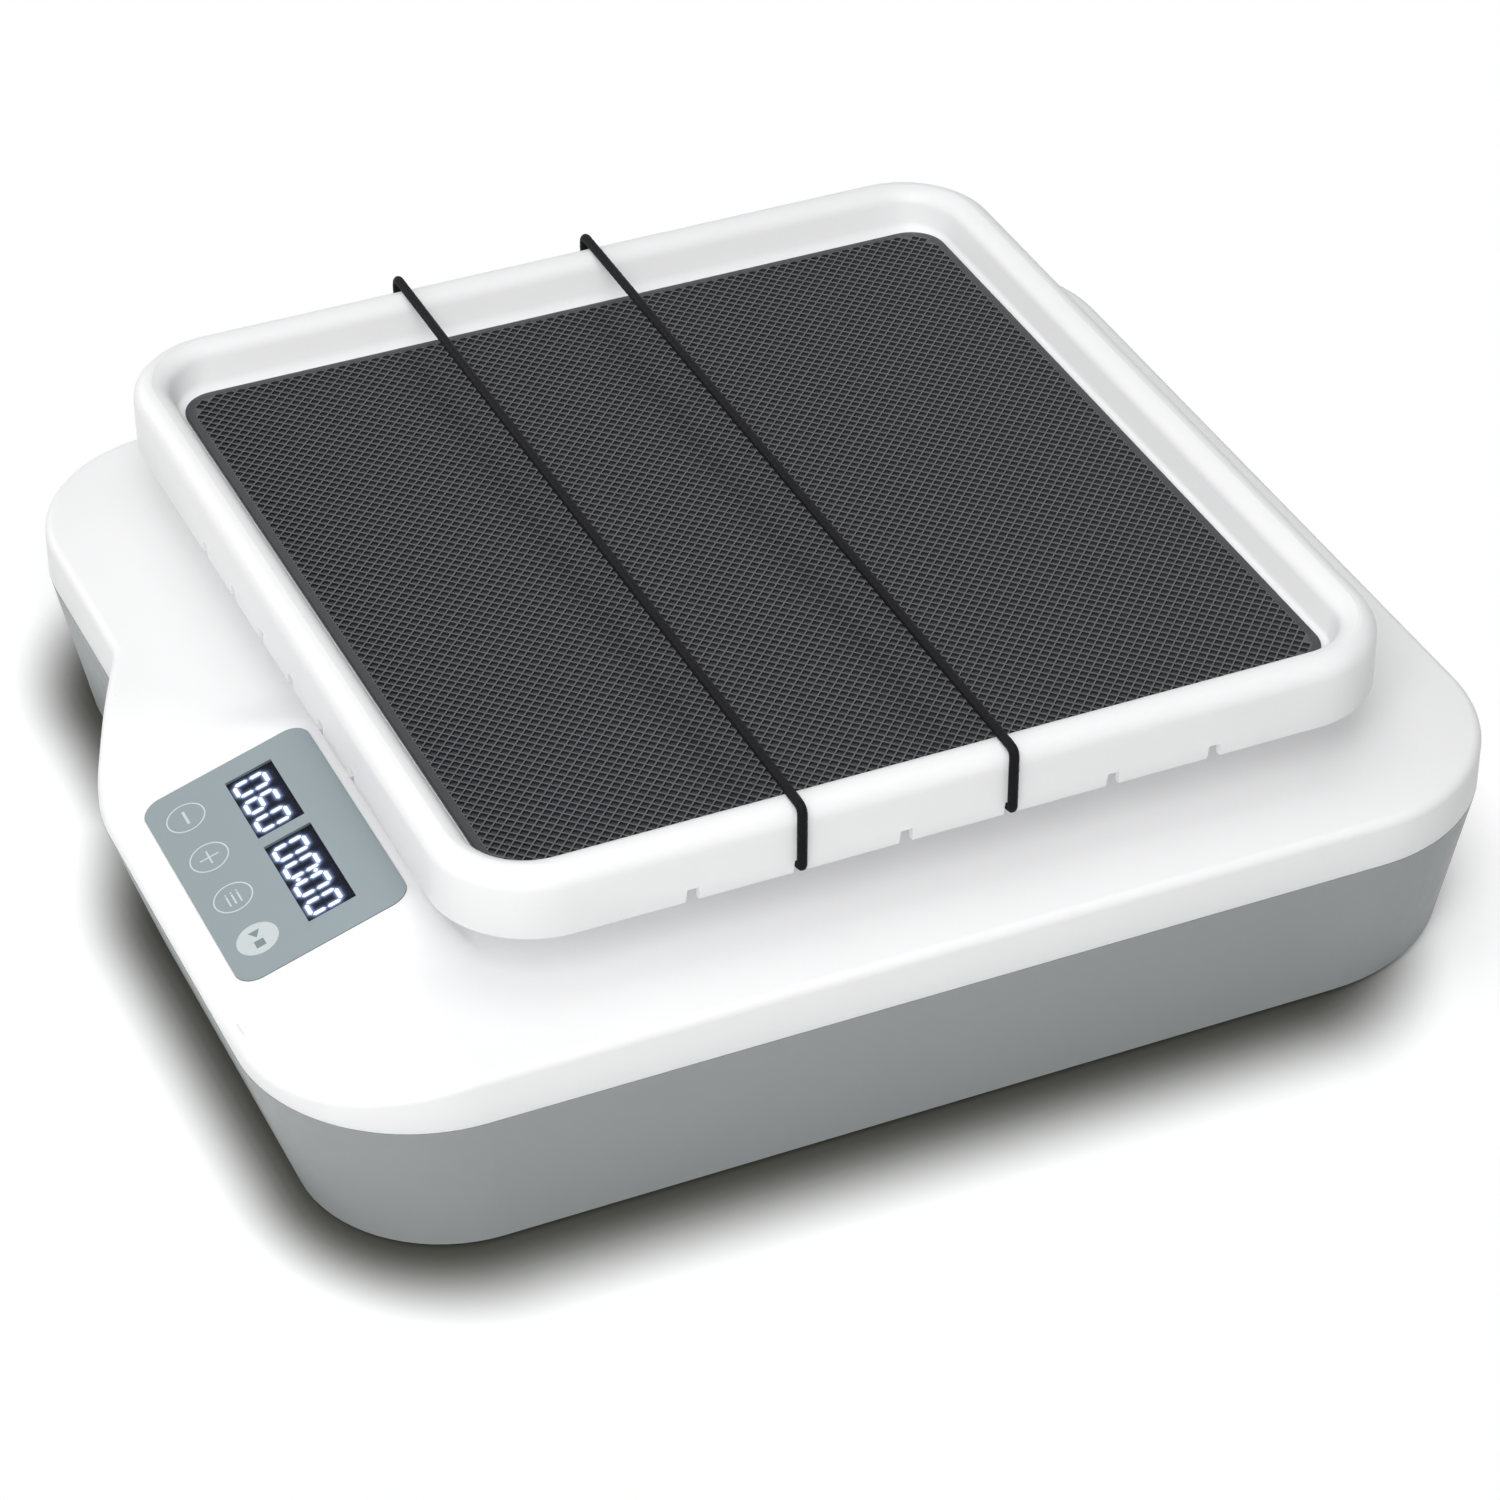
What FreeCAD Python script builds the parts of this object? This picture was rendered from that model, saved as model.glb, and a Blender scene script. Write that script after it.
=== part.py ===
# Linear benchtop shaker: grey base, white cover with a tilted console, and a shaking tray with a rubber mat.
# Millimetres and degrees. Origin at the middle of the rectangle that the machine covers, on the bench.
# +X is the operator's right, -Y faces the operator, +Z is up. The tray shakes along X.
import FreeCAD, Part
import math
import os
import re

# Driving dimensions. Every one becomes a cell of the spreadsheet, with its name as alias.
SIZES = {
    # Outline of the cover, seen from above
    "body_width": 346.8,
    "body_length": 389.6,
    "back_radius": 56.0,
    "left_radius": 52.0,
    "right_radius": 53.5,
    "nose_step": 25.0,
    "nose_angle": 24.0,
    "neck_offset": 61.5,
    "neck_radius": 11.0,
    "shoulder_radius": 60.0,
    # Base shell
    "foot_stand": 1.0,
    "base_height": 50.0,
    "base_wall": 3.0,
    "base_floor": 3.0,
    "base_edge": 1.5,
    "side_draft": 7.4,
    "back_draft": 2.2,
    "nose_draft": 15.8,
    "left_draft": 10.0,
    "neck_draft": 6.5,
    "base_back_radius": 63.0,
    "base_left_radius": 47.0,
    "base_right_radius": 44.0,
    # Feet
    "foot_radius": 10.0,
    "foot_recess": 1.5,
    "foot_side_inset": 58.4,
    "foot_back_inset": 64.8,
    "foot_front_inset": 86.8,
    # Housing screws with their pillars and bosses
    "pillar_radius": 6.0,
    "pillar_side_inset": 38.4,
    "pillar_back_inset": 44.8,
    "pillar_left_inset": 72.8,
    "pillar_right_inset": 62.8,
    "pillar_neck_shift": 0.5,
    "pillar_neck_inset": 48.8,
    "pillar_mid_inset": 28.8,
    "pillar_seat": 11.0,
    "housing_screw_radius": 1.75,
    "housing_screw_bite": 9.0,
    "screw_clearance": 0.25,
    "screw_head_ratio": 1.9,
    # Floor vents
    "vent_count": 8,
    "vent_width": 3.0,
    "vent_length": 34.0,
    "vent_pitch": 8.0,
    "vent_inset": 56.8,
    # Cover
    "cover_depth": 16.0,
    "cover_wall": 3.0,
    # Console at the front of the cover
    "console_tilt": 18.0,
    "console_lip": 3.0,
    "console_margin": 3.4,
    "console_run": 8.0,
    "flank_run": 28.0,
    "corner_lip": 6.5,
    "corner_run": 45.0,
    "panel_left": 7.0,
    "panel_width": 90.8,
    "panel_depth": 54.3,
    "panel_setback": 10.3,
    "panel_radius": 6.5,
    "panel_thickness": 1.0,
    "panel_proud": 0.2,
    "panel_clearance": 0.2,
    # Keys
    "key_radius": 6.4,
    "key_gap": 0.12,
    "key_first": 13.5,
    "key_pitch": 20.7,
    "key_row": 10.6,
    "key_travel": 0.4,
    "key_stem_radius": 2.0,
    "key_stem": 2.6,
    "key_stem_gap": 0.5,
    # Display windows and their digits
    "window_row": 25.4,
    "window_height": 15.2,
    "window_thickness": 0.6,
    "speed_window_start": 8.3,
    "speed_window_width": 29.2,
    "timer_window_start": 42.0,
    "timer_window_width": 37.9,
    "digit_height": 10.9,
    "digit_width": 6.8,
    "digit_pitch": 9.05,
    "digit_stroke": 1.3,
    "digit_break": 0.35,
    "digit_rise": 1.1,
    "digit_start": 1.9,
    "digit_thickness": 0.2,
    "display_face": 0.7,
    "display_depth": 6.4,
    "display_clearance": 0.15,
    # Display board
    "board_thickness": 1.6,
    "board_inset": 5.0,
    "board_screw_inset": 7.5,
    "key_switch_size": 6.0,
    "plunger_radius": 1.4,
    "plunger_height": 1.0,
    "plunger_gap": 0.15,
    "board_boss_radius": 3.0,
    "board_screw_radius": 1.2,
    "board_screw_bite": 4.0,
    # Shaking tray
    "tray_width": 307.6,
    "tray_length": 294.2,
    "tray_radius": 31.0,
    "tray_shift": 9.2,
    "tray_gap": 24.5,
    "tray_height": 21.5,
    "tray_wall": 2.3,
    "tray_floor": 3.0,
    "tray_floor_level": 8.2,
    "rim_width": 8.8,
    "rim_round": 7.0,
    "rim_inner_round": 2.6,
    "rim_slope_side": 8.0,
    "rim_slope_end": 5.6,
    "well_radius": 13.0,
    "well_round": 2.2,
    "groove_width": 5.0,
    "groove_top": 15.0,
    "notch_count": 6,
    "notch_pitch_side": 32.5,
    "notch_pitch_end": 25.25,
    "notch_width": 4.4,
    "notch_slant": 0.8,
    "notch_depth": 4.3,
    # Mat
    "mat_thickness": 1.8,
    "mat_gap": 1.5,
    "mat_radius": 11.5,
    # Elastic cords
    "cord_radius": 1.5,
    "cord_seat": 0.1,
    "cord_turn_radius": 1.8,
    "ferrule_radius": 2.4,
    "ferrule_length": 6.0,
    "ferrule_gap": 0.3,
    # Chassis
    "chassis_thickness": 3.0,
    "chassis_left_inset": 16.4,
    "chassis_right_inset": 73.4,
    "chassis_half_depth": 98.0,
    "chassis_boss_height": 4.0,
    "chassis_boss_radius": 6.0,
    "chassis_boss_inset": 12.0,
    "chassis_screw_radius": 2.0,
    "chassis_screw_bite": 3.5,
    # Guide rods
    "rod_radius": 5.0,
    "rod_inset": 60.4,
    "rod_spread": 72.0,
    "rod_rise": 17.0,
    "support_length": 16.0,
    "support_width": 24.0,
    "support_height": 23.0,
    "support_foot_width": 44.0,
    "support_foot_height": 7.0,
    "support_screw_spread": 17.0,
    # Carriage
    "bearing_length": 30.0,
    "bearing_width": 26.0,
    "bearing_height": 22.0,
    "bearing_play": 0.05,
    "bearing_end_gap": 15.0,
    "carriage_overhang": 13.0,
    "carriage_depth": 166.0,
    "carriage_thickness": 4.0,
    "post_radius": 7.0,
    "post_stud_radius": 3.0,
    "post_stud": 10.0,
    "post_slot_gap": 2.0,
    "post_slot_flat": 0.2,
    "tray_screw_radius": 2.5,
    "tray_screw_length": 16.0,
    # Crank drive
    "stroke": 10.0,
    "yoke_thickness": 6.0,
    "yoke_width": 32.0,
    "yoke_depth": 46.0,
    "yoke_play": 1.4,
    "yoke_screw_radius": 1.5,
    "yoke_screw_spread": 19.0,
    "roller_radius": 8.0,
    "roller_gap": 0.7,
    "crank_pin_radius": 4.0,
    "crank_pin_bite": 3.5,
    "crank_pulley_radius": 42.0,
    "crank_pulley_level": 11.0,
    "pulley_width": 8.0,
    "pulley_flange": 2.0,
    "flange_thickness": 1.0,
    "counterweight_width": 10.0,
    "counterweight_height": 4.0,
    "shaft_radius": 6.0,
    "shaft_play": 0.05,
    "bearing_flange_radius": 22.0,
    "bearing_barrel_radius": 13.0,
    "bearing_barrel": 10.0,
    "bearing_flange": 4.0,
    # Motor
    "motor_inset": 51.4,
    "belt_thickness": 1.6,
    "belt_width": 5.0,
    "belt_gap": 0.3,
    "motor_radius": 29.0,
    "motor_length": 22.0,
    "motor_pulley_radius": 14.0,
    "motor_shaft_radius": 3.0,
    "motor_shaft_play": 1.5,
    "motor_screw_radius": 1.5,
    "motor_screw_spread": 17.0,
    "bracket_level": 23.0,
    "bracket_thickness": 3.0,
    "bracket_width": 44.0,
    "bracket_half_depth": 36.0,
    "bracket_foot": 12.0,
    "bracket_screw_spread": 14.5,
    # Main board and power supply
    "main_board_inset": 57.4,
    "main_board_width": 46.0,
    "main_board_length": 104.0,
    "main_board_shift": 20.0,
    "standoff_height": 8.0,
    "standoff_radius": 3.0,
    "standoff_inset": 5.0,
    "standoff_screw_radius": 1.2,
    "capacitor_radius": 8.0,
    "capacitor_height": 20.0,
    "capacitor_pitch": 21.0,
    "heat_sink_width": 12.0,
    "heat_sink_length": 40.0,
    "heat_sink_height": 24.0,
    "supply_side_inset": 59.4,
    "supply_width": 88.0,
    "supply_depth": 44.0,
    "supply_height": 30.0,
    "supply_back_inset": 36.8,
    # Mains inlet and switch in the back wall
    "switch_spacing": 40.0,
    "back_fitting_level": 26.0,
    "inlet_width": 27.0,
    "inlet_height": 20.0,
    "inlet_depth": 24.0,
    "inlet_flange": 3.5,
    "inlet_socket_width": 22.0,
    "inlet_socket_height": 15.0,
    "inlet_socket_depth": 17.0,
    "inlet_pin_width": 2.0,
    "inlet_pin_height": 4.0,
    "inlet_pin_length": 14.0,
    "inlet_pin_spread": 7.0,
    "inlet_pin_drop": 3.0,
    "bezel_width": 16.0,
    "bezel_height": 22.0,
    "bezel_depth": 18.0,
    "bezel_flange": 2.5,
    "bezel_wall": 1.5,
    "fitting_flange_depth": 1.5,
    "rocker_gap": 0.4,
    "rocker_proud": 0.6,
    "rocker_depth": 9.0,
    "rocker_tilt": 8.0,
    "rocker_pin_radius": 1.2,
    # One overrun for every cut, and how far past its place an edge may reach and still be rounded
    "overrun": 2.0,
    "edge_margin": 0.02,
}

# Places and sizes that follow from the ones above
PLACES = {
    "half_width": "body_width / 2",
    "back_line": "body_length / 2",
    "nose_line": "-body_length / 2",
    "left_line": "nose_line + nose_step",
    "base_top": "foot_stand + base_height",
    "floor_top": "foot_stand + base_floor",
    "deck": "base_top + cover_depth",
    "deck_under": "deck - cover_wall",
    "lip_level": "base_top + console_lip",
    "panel_back": "panel_setback + panel_depth",
    "crest_reach": "(panel_back + console_margin) * cos(console_tilt)",
    "crest_line": "nose_line + crest_reach",
    "crest_level": "lip_level + crest_reach * tan(console_tilt)",
    "pocket_depth": "panel_thickness - panel_proud",
    "display_back": "display_face + display_depth",
    "board_back": "display_back + board_thickness",
    "tray_bottom": "deck + tray_gap",
    "tray_top": "tray_bottom + tray_height",
    "tray_slab_top": "tray_bottom + tray_floor_level",
    "tray_slab_under": "tray_slab_top - tray_floor",
    "well_width": "tray_width - 2 * rim_width - 2 * rim_slope_side",
    "well_length": "tray_length - 2 * rim_width - 2 * rim_slope_end",
    "chassis_level": "floor_top + chassis_boss_height",
    "chassis_top": "chassis_level + chassis_thickness",
    "rod_level": "chassis_top + rod_rise",
    "carriage_level": "rod_level + bearing_height / 2",
    "carriage_top": "carriage_level + carriage_thickness",
    "yoke_level": "carriage_level - yoke_thickness",
    "pulley_level": "chassis_top + crank_pulley_level",
    "pulley_top": "pulley_level + pulley_width",
    "bracket_under": "chassis_top + bracket_level",
    "motor_level": "bracket_under + bracket_thickness",
    "crank_reach": "stroke / 2",
    "foot_side": "half_width - foot_side_inset",
    "foot_back": "back_line - foot_back_inset",
    "foot_front": "nose_line + foot_front_inset",
    "pillar_side": "half_width - pillar_side_inset",
    "pillar_back": "back_line - pillar_back_inset",
    "chassis_left": "half_width - chassis_left_inset",
    "chassis_right": "half_width - chassis_right_inset",
    "rod_length": "2 * (half_width - rod_inset)",
    "bearing_spread": "rod_length / 2 - support_length - bearing_length / 2 - crank_reach - bearing_end_gap",
    "carriage_width": "2 * (bearing_spread + carriage_overhang)",
    "belt_centres": "half_width - motor_inset",
    "main_board_start": "half_width - main_board_inset",
    "supply_start": "half_width - supply_side_inset - supply_width",
    "supply_back": "back_line - supply_back_inset",
    "inlet_side": "supply_start + supply_width / 2",
    "switch_side": "inlet_side - switch_spacing",
    "housing_head_radius": "housing_screw_radius * screw_head_ratio",
    "board_level": "floor_top + standoff_height",
    "fitting_inset": "back_draft * (base_top - back_fitting_level) / base_height",
}

# Heights of the two dots between hours and minutes, as shares of a figure
COLON_SHARES = (0.24, 0.76)

doc = FreeCAD.newDocument("linear_shaker")
dims = doc.addObject("Spreadsheet::Sheet", "dims")
for row, (alias, size) in enumerate(SIZES.items(), start=1):
    dims.set(f"A{row}", str(size))
    dims.setAlias(f"A{row}", alias)
doc.recompute()


def formula(text):
    """Write a formula of named sizes and places as an expression on the sheet."""
    def swap(word):
        name = word.group(0)
        if name in PLACES:
            return "(" + formula(PLACES[name]) + ")"
        return "dims." + name if name in SIZES else name
    return re.sub(r"[a-z][a-z_]*", swap, str(text))


def value(text):
    """Work a formula out as a number, for the shapes that are made point by point."""
    return float(dims.evalExpression(formula(text)))


def bind(piece, **properties):
    """Tie properties to formulas. A double underscore in a name stands for a dot."""
    for name, text in properties.items():
        piece.setExpression(name.replace("__", "."), formula(text))


def place(piece, at):
    bind(piece, Placement__Base__x=at[0], Placement__Base__y=at[1], Placement__Base__z=at[2])
    return piece


def box(label, size, at):
    """A box with its low corner at the given place."""
    piece = doc.addObject("Part::Box", label)
    bind(piece, Length=size[0], Width=size[1], Height=size[2])
    return place(piece, at)


def slab(label, size, middle, level):
    """A box centred on a place in X and Y, standing on a level."""
    x, y = middle
    return box(label, size, (f"{x} - ({size[0]}) / 2", f"{y} - ({size[1]}) / 2", level))


def rod(label, radius, length, at, along="Z"):
    """A cylinder that starts at a place and runs along one axis."""
    piece = doc.addObject("Part::Cylinder", label)
    turns = {"X": FreeCAD.Rotation(FreeCAD.Vector(0, 1, 0), 90), "Z": FreeCAD.Rotation(),
             "Y": FreeCAD.Rotation(FreeCAD.Vector(1, 0, 0), -90)}
    piece.Placement.Rotation = turns[along]
    bind(piece, Radius=radius, Height=length)
    return place(piece, at)


def cone(label, low_radius, high_radius, length, at):
    piece = doc.addObject("Part::Cone", label)
    bind(piece, Radius1=low_radius, Radius2=high_radius, Height=length)
    return place(piece, at)


def join(label, pieces):
    piece = doc.addObject("Part::MultiFuse", label)
    piece.Shapes = pieces
    piece.Refine = True
    return piece


def cut(label, base, tools):
    """Take one tool or several from a base."""
    piece = doc.addObject("Part::Cut", label)
    piece.Base = base
    piece.Tool = tools[0] if len(tools) == 1 else together(label + "_tools", tools)
    piece.Refine = True
    return piece


def together(label, pieces):
    """Separate solids in one object."""
    piece = doc.addObject("Part::Compound", label)
    piece.Links = pieces
    return piece


def rounded_wire(corners, level=0.0):
    """A closed wire through corners given as (x, y, radius), each rounded by its own arc."""
    points = [FreeCAD.Vector(x, y, level) for x, y, _ in corners]
    edges, ends = [], []
    for i, (x, y, radius) in enumerate(corners):
        to_last = (points[i - 1] - points[i]).normalize()
        to_next = (points[(i + 1) % len(points)] - points[i]).normalize()
        half = to_last.getAngle(to_next) / 2
        inward = (to_last + to_next).normalize()
        reach = radius / math.tan(half)
        start, end = points[i] + to_last * reach, points[i] + to_next * reach
        middle = points[i] + inward * (radius / math.sin(half) - radius)
        ends.append((start, middle, end))
    for i, (start, middle, end) in enumerate(ends):
        edges.append(Part.Arc(start, middle, end).toShape())
        edges.append(Part.LineSegment(end, ends[(i + 1) % len(ends)][0]).toShape())
    return Part.Wire(edges)


def rectangle(width, length, radius, middle=("0", "0"), level="0"):
    """A rounded rectangle as a wire, from formulas."""
    half_x, half_y, r = value(width) / 2, value(length) / 2, value(radius)
    x, y = value(middle[0]), value(middle[1])
    corners = [(x + half_x, y + half_y, r), (x - half_x, y + half_y, r),
               (x - half_x, y - half_y, r), (x + half_x, y - half_y, r)]
    return rounded_wire(corners, value(level))


def sketch(label, wire):
    """A wire as an object of the document."""
    piece = doc.addObject("Part::Feature", label)
    piece.Shape = wire
    return piece


def extrude(label, wire, height):
    """A solid above a closed wire."""
    piece = doc.addObject("Part::Extrusion", label)
    piece.Base = sketch(label + "_outline", wire)
    piece.DirMode = "Custom"
    piece.Dir = FreeCAD.Vector(0, 0, 1)
    piece.Solid = True
    bind(piece, LengthFwd=height)
    return piece


def loft(label, wires):
    """A solid of ruled walls from wire to wire."""
    piece = doc.addObject("Part::Loft", label)
    piece.Sections = [sketch(f"{label}_section_{i}", wire) for i, wire in enumerate(wires)]
    piece.Solid = True
    piece.Ruled = True
    return piece


def round_edges(label, base, radius, low, high):
    """Round every edge of a piece that lies in a box between two corners."""
    doc.recompute()
    reach = [value(text) for text in (*low, *high)]
    span = FreeCAD.BoundBox(*reach)
    span.enlarge(value("edge_margin"))
    chosen = [i for i, edge in enumerate(base.Shape.Edges, start=1) if span.isInside(edge.BoundBox)]
    piece = doc.addObject("Part::Fillet", label)
    piece.Base = base
    piece.Edges = [(i, value(radius), value(radius)) for i in chosen]
    return piece


def tilt(label, pieces):
    """Lay pieces modelled flat on the console: X across it, Y up its slope, Z out of it."""
    piece = together(label, pieces)
    piece.Placement.Rotation = FreeCAD.Rotation(FreeCAD.Vector(1, 0, 0), 1)
    bind(piece, Placement__Rotation__Angle="console_tilt")
    return place(piece, ("0", "nose_line", "lip_level"))


def lean(label, pieces, side):
    """Set pieces modelled upright into the leaning back wall: Y points out of the wall."""
    piece = together(label, pieces)
    piece.Placement.Rotation = FreeCAD.Rotation(FreeCAD.Vector(-1, 0, 0), 1)
    bind(piece, Placement__Rotation__Angle="atan(back_draft / base_height)")
    return place(piece, (side, "back_line - fitting_inset", "back_fitting_level"))


finished = {}


def keep(name, piece):
    """Hand a finished sub-part over under its own name."""
    piece.Label = name
    finished[name] = piece
    return piece


def body_outline(inset, level, share=0.0):
    """The machine's outline, drawn in by an inset. Share 0 is the cover's edge, 1 the foot of the base."""
    def blend(top, foot):
        return value(top) + (value(foot) - value(top)) * share
    w = value(inset)
    side = blend("half_width", "half_width - side_draft") - w
    back = blend("back_line", "back_line - back_draft") - w
    nose = blend("nose_line", "nose_line + nose_draft") + w
    left = blend("left_line", "left_line + left_draft") + w
    drift = w * math.tan(math.radians(value("nose_angle") / 2))
    neck = blend("-neck_offset", "neck_draft - neck_offset") + drift
    shoulder = neck + (left - nose) / math.tan(math.radians(value("nose_angle")))
    back_radius = blend("back_radius", "base_back_radius") - w
    corners = [
        (side, back, back_radius),
        (-side, back, back_radius),
        (-side, left, blend("left_radius", "base_left_radius") - w),
        (neck, left, value("neck_radius") + w),
        (shoulder, nose, value("shoulder_radius") - w),
        (side, nose, blend("right_radius", "base_right_radius") - w),
    ]
    return rounded_wire(corners, value(level))


def pillar_places():
    """Where the housing screws stand: four corners, the neck and the middle of the back."""
    return [("pillar_side", "pillar_back"), ("-pillar_side", "pillar_back"),
            ("-pillar_side", "nose_line + pillar_left_inset"),
            ("pillar_side", "nose_line + pillar_right_inset"),
            ("-neck_offset - pillar_neck_shift", "nose_line + pillar_neck_inset"),
            ("0", "back_line - pillar_mid_inset")]


def foot_places():
    return [("foot_side", "foot_back"), ("-foot_side", "foot_back"),
            ("-foot_side", "foot_front"), ("foot_side", "foot_front")]


def corner_places(half_x, half_y, x="0", y="0"):
    """Four places around a middle."""
    return [(f"{x} + {i} * ({half_x})", f"{y} + {j} * ({half_y})") for i in (1, -1) for j in (1, -1)]


def chassis_boss_places():
    inset = "chassis_boss_inset"
    return [(x, f"tray_shift + {j} * (chassis_half_depth - {inset})")
            for x in (f"{inset} - chassis_left", f"chassis_right - {inset}") for j in (1, -1)]


def standoff_places():
    half_x = "main_board_width / 2 - standoff_inset"
    half_y = "main_board_length / 2 - standoff_inset"
    return corner_places(half_x, half_y, "main_board_start + main_board_width / 2", "-main_board_shift")


def post_places():
    return corner_places("bearing_spread", "rod_spread", "0", "tray_shift")


def pan_screw(label, radius, length, at):
    """A screw with a pan head that stands on the given place and a shank that runs down from it."""
    x, y, seat = at
    head = rod(label + "_head", f"({radius}) * screw_head_ratio", f"({radius}) * screw_head_ratio / 2", at)
    shank = rod(label + "_shank", radius, length, (x, y, f"{seat} - ({length})"))
    return join(label, [head, shank])


def base_shell():
    floor_share = value("1 - base_floor / base_height")
    edge_share = value("1 - base_edge / base_height")
    outside = loft("base_outside", [
        body_outline("base_edge", "foot_stand", 1.0),
        body_outline("0", "foot_stand + base_edge", edge_share),
        body_outline("0", "base_top")])
    over_share = value("-overrun / base_height")
    inside = loft("base_inside", [
        body_outline("base_wall", "floor_top", floor_share),
        body_outline("base_wall", "base_top + overrun", over_share)])
    shell = cut("base_tub", outside, [inside])
    added, tools = [shell], []
    for i, (x, y) in enumerate(pillar_places()):
        seat = "base_top - pillar_seat"
        added.append(rod(f"base_pillar_{i}", "pillar_radius", "base_height - base_edge",
                         (x, y, "foot_stand + base_edge")))
        tools.append(rod(f"base_screw_hole_{i}", "housing_screw_radius + screw_clearance",
                         "base_top + overrun", (x, y, "0")))
        tools.append(rod(f"base_screw_well_{i}", "housing_head_radius + screw_clearance", seat, (x, y, "0")))
    for i, (x, y) in enumerate(chassis_boss_places()):
        added.append(rod(f"chassis_boss_{i}", "chassis_boss_radius", "chassis_boss_height + base_floor / 2",
                         (x, y, "floor_top - base_floor / 2")))
        tools.append(rod(f"chassis_boss_hole_{i}", "chassis_screw_radius", "chassis_screw_bite",
                         (x, y, "chassis_level - chassis_screw_bite")))
    for i, (x, y) in enumerate(foot_places()):
        tools.append(rod(f"foot_recess_{i}", "foot_radius", "foot_stand + foot_recess", (x, y, "0")))
    for i in range(round(value("vent_count"))):
        middle = f"({i} - (vent_count - 1) / 2) * vent_pitch"
        tools.append(slab(f"vent_{i}", ("vent_width", "vent_length", "foot_stand + base_floor + overrun"),
                          (middle, "nose_line + vent_inset + vent_length / 2"), "0"))
    inlet = back_cutter("inlet", "inlet_width", "inlet_height", "inlet_flange", "inlet_side")
    switch = back_cutter("switch", "bezel_width", "bezel_height", "bezel_flange", "switch_side")
    keep("base_shell", cut("base_shell", join("base_blank", added), tools + [inlet, switch]))


def back_cutter(name, width, height, flange, side):
    """The hole for a fitting in the back wall, with a shallow seat for its flange."""
    hole = box(name + "_hole", (width, "base_wall * 2 + overrun * 2", height),
               (f"-({width}) / 2", "-base_wall * 2 - overrun", f"-({height}) / 2"))
    wide, tall = f"{width} + 2 * {flange}", f"{height} + 2 * {flange}"
    seat = box(name + "_seat", (wide, "fitting_flange_depth + overrun", tall),
               (f"-({wide}) / 2", "-fitting_flange_depth", f"-({tall}) / 2"))
    return lean(name + "_cutter", [hole, seat], side)


def rubber_feet():
    feet = [rod(f"foot_{i}", "foot_radius", "foot_stand + foot_recess", (x, y, "0"))
            for i, (x, y) in enumerate(foot_places())]
    keep("rubber_feet", together("rubber_feet", feet))


def housing_screws():
    screws = []
    for i, (x, y) in enumerate(pillar_places()):
        seat = "base_top - pillar_seat"
        thick = "housing_head_radius / 2"
        head = rod(f"housing_head_{i}", "housing_head_radius", thick, (x, y, f"{seat} - {thick}"))
        shank = rod(f"housing_shank_{i}", "housing_screw_radius", "pillar_seat + housing_screw_bite",
                    (x, y, seat))
        screws.append(join(f"housing_screw_{i}", [head, shank]))
    keep("housing_screws", together("housing_screws", screws))


def slope_profile(x, front_level, crease, crease_level, drop):
    """One section, square to X, of the space above the front. Drop lowers the whole of it."""
    high = value("crest_level + cover_depth")
    nose, crest = value("nose_line"), value("crest_line")
    grade = (crease_level - front_level) / (crease - nose)
    front = nose - value("overrun")
    points = [(front, front_level - grade * value("overrun") - drop), (crease, crease_level - drop),
              (crest, value("crest_level") - drop), (crest, high), (front, high)]
    return Part.makePolygon([FreeCAD.Vector(x, y, z) for y, z in points + points[:1]])


def slope_cutter(label, drop):
    """What is taken off the cover: nothing at the left, the console's slope, a lower slope at the right."""
    deck, above = value("deck"), value("deck + overrun")
    lip, corner_lip = value("lip_level"), value("base_top + corner_lip")
    console_crease = value("nose_line + (cover_depth - console_lip) / tan(console_tilt)")
    corner_crease = value("nose_line + corner_run")
    edge = value("panel_left + panel_width")
    return loft(label, [
        slope_profile(value("-half_width - overrun"), above, console_crease, above, drop),
        slope_profile(value("-neck_offset"), above, console_crease, above, drop),
        slope_profile(value("panel_left - console_margin"), lip, console_crease, deck, drop),
        slope_profile(edge, lip, console_crease, deck, drop),
        slope_profile(edge + value("flank_run"), corner_lip, corner_crease, deck, drop),
        slope_profile(value("half_width + overrun"), corner_lip, corner_crease, deck, drop)])


def console_block(label, inset, sunk):
    """The block that the console's slope is cut from: it rises to the crest and falls away on three sides."""
    piece = doc.addObject("Part::Wedge", label)
    piece.Placement.Rotation = FreeCAD.Rotation(FreeCAD.Vector(0, 1, 0), FreeCAD.Vector(0, 0, 1),
                                                FreeCAD.Vector(1, 0, 0), "XYZ")
    low, high = f"-flank_run + {inset}", f"panel_width + flank_run - ({inset})"
    front, back = "panel_setback", f"crest_reach + console_run - ({inset})"
    bind(piece, Xmin=front, Xmax=back, X2min=front, X2max="crest_reach",
         Zmin=low, Zmax=high, Z2min="0", Z2max="panel_width",
         Ymin="0", Ymax="crest_level - deck + cover_wall")
    return place(piece, ("panel_left", "nose_line", f"deck - cover_wall - {sunk}"))


def key_places():
    """Middles of the four keys, measured on the console."""
    return [(f"panel_left + key_first + {i} * key_pitch", "panel_setback + key_row") for i in range(4)]


def window_places():
    """Low left corner and width of the two display windows, measured on the console."""
    return {"speed": ("panel_left + speed_window_start", "speed_window_width"),
            "timer": ("panel_left + timer_window_start", "timer_window_width")}


def board_screw_places():
    """Screws of the display board: between the outer keys, in front of and behind the windows."""
    across = [f"panel_left + key_first + {i} * key_pitch" for i in (0.5, 2.5)]
    up = ["panel_setback + (key_row + window_row) / 2", "panel_setback + panel_depth - board_screw_inset"]
    return [(x, y) for x in across for y in up]


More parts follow.
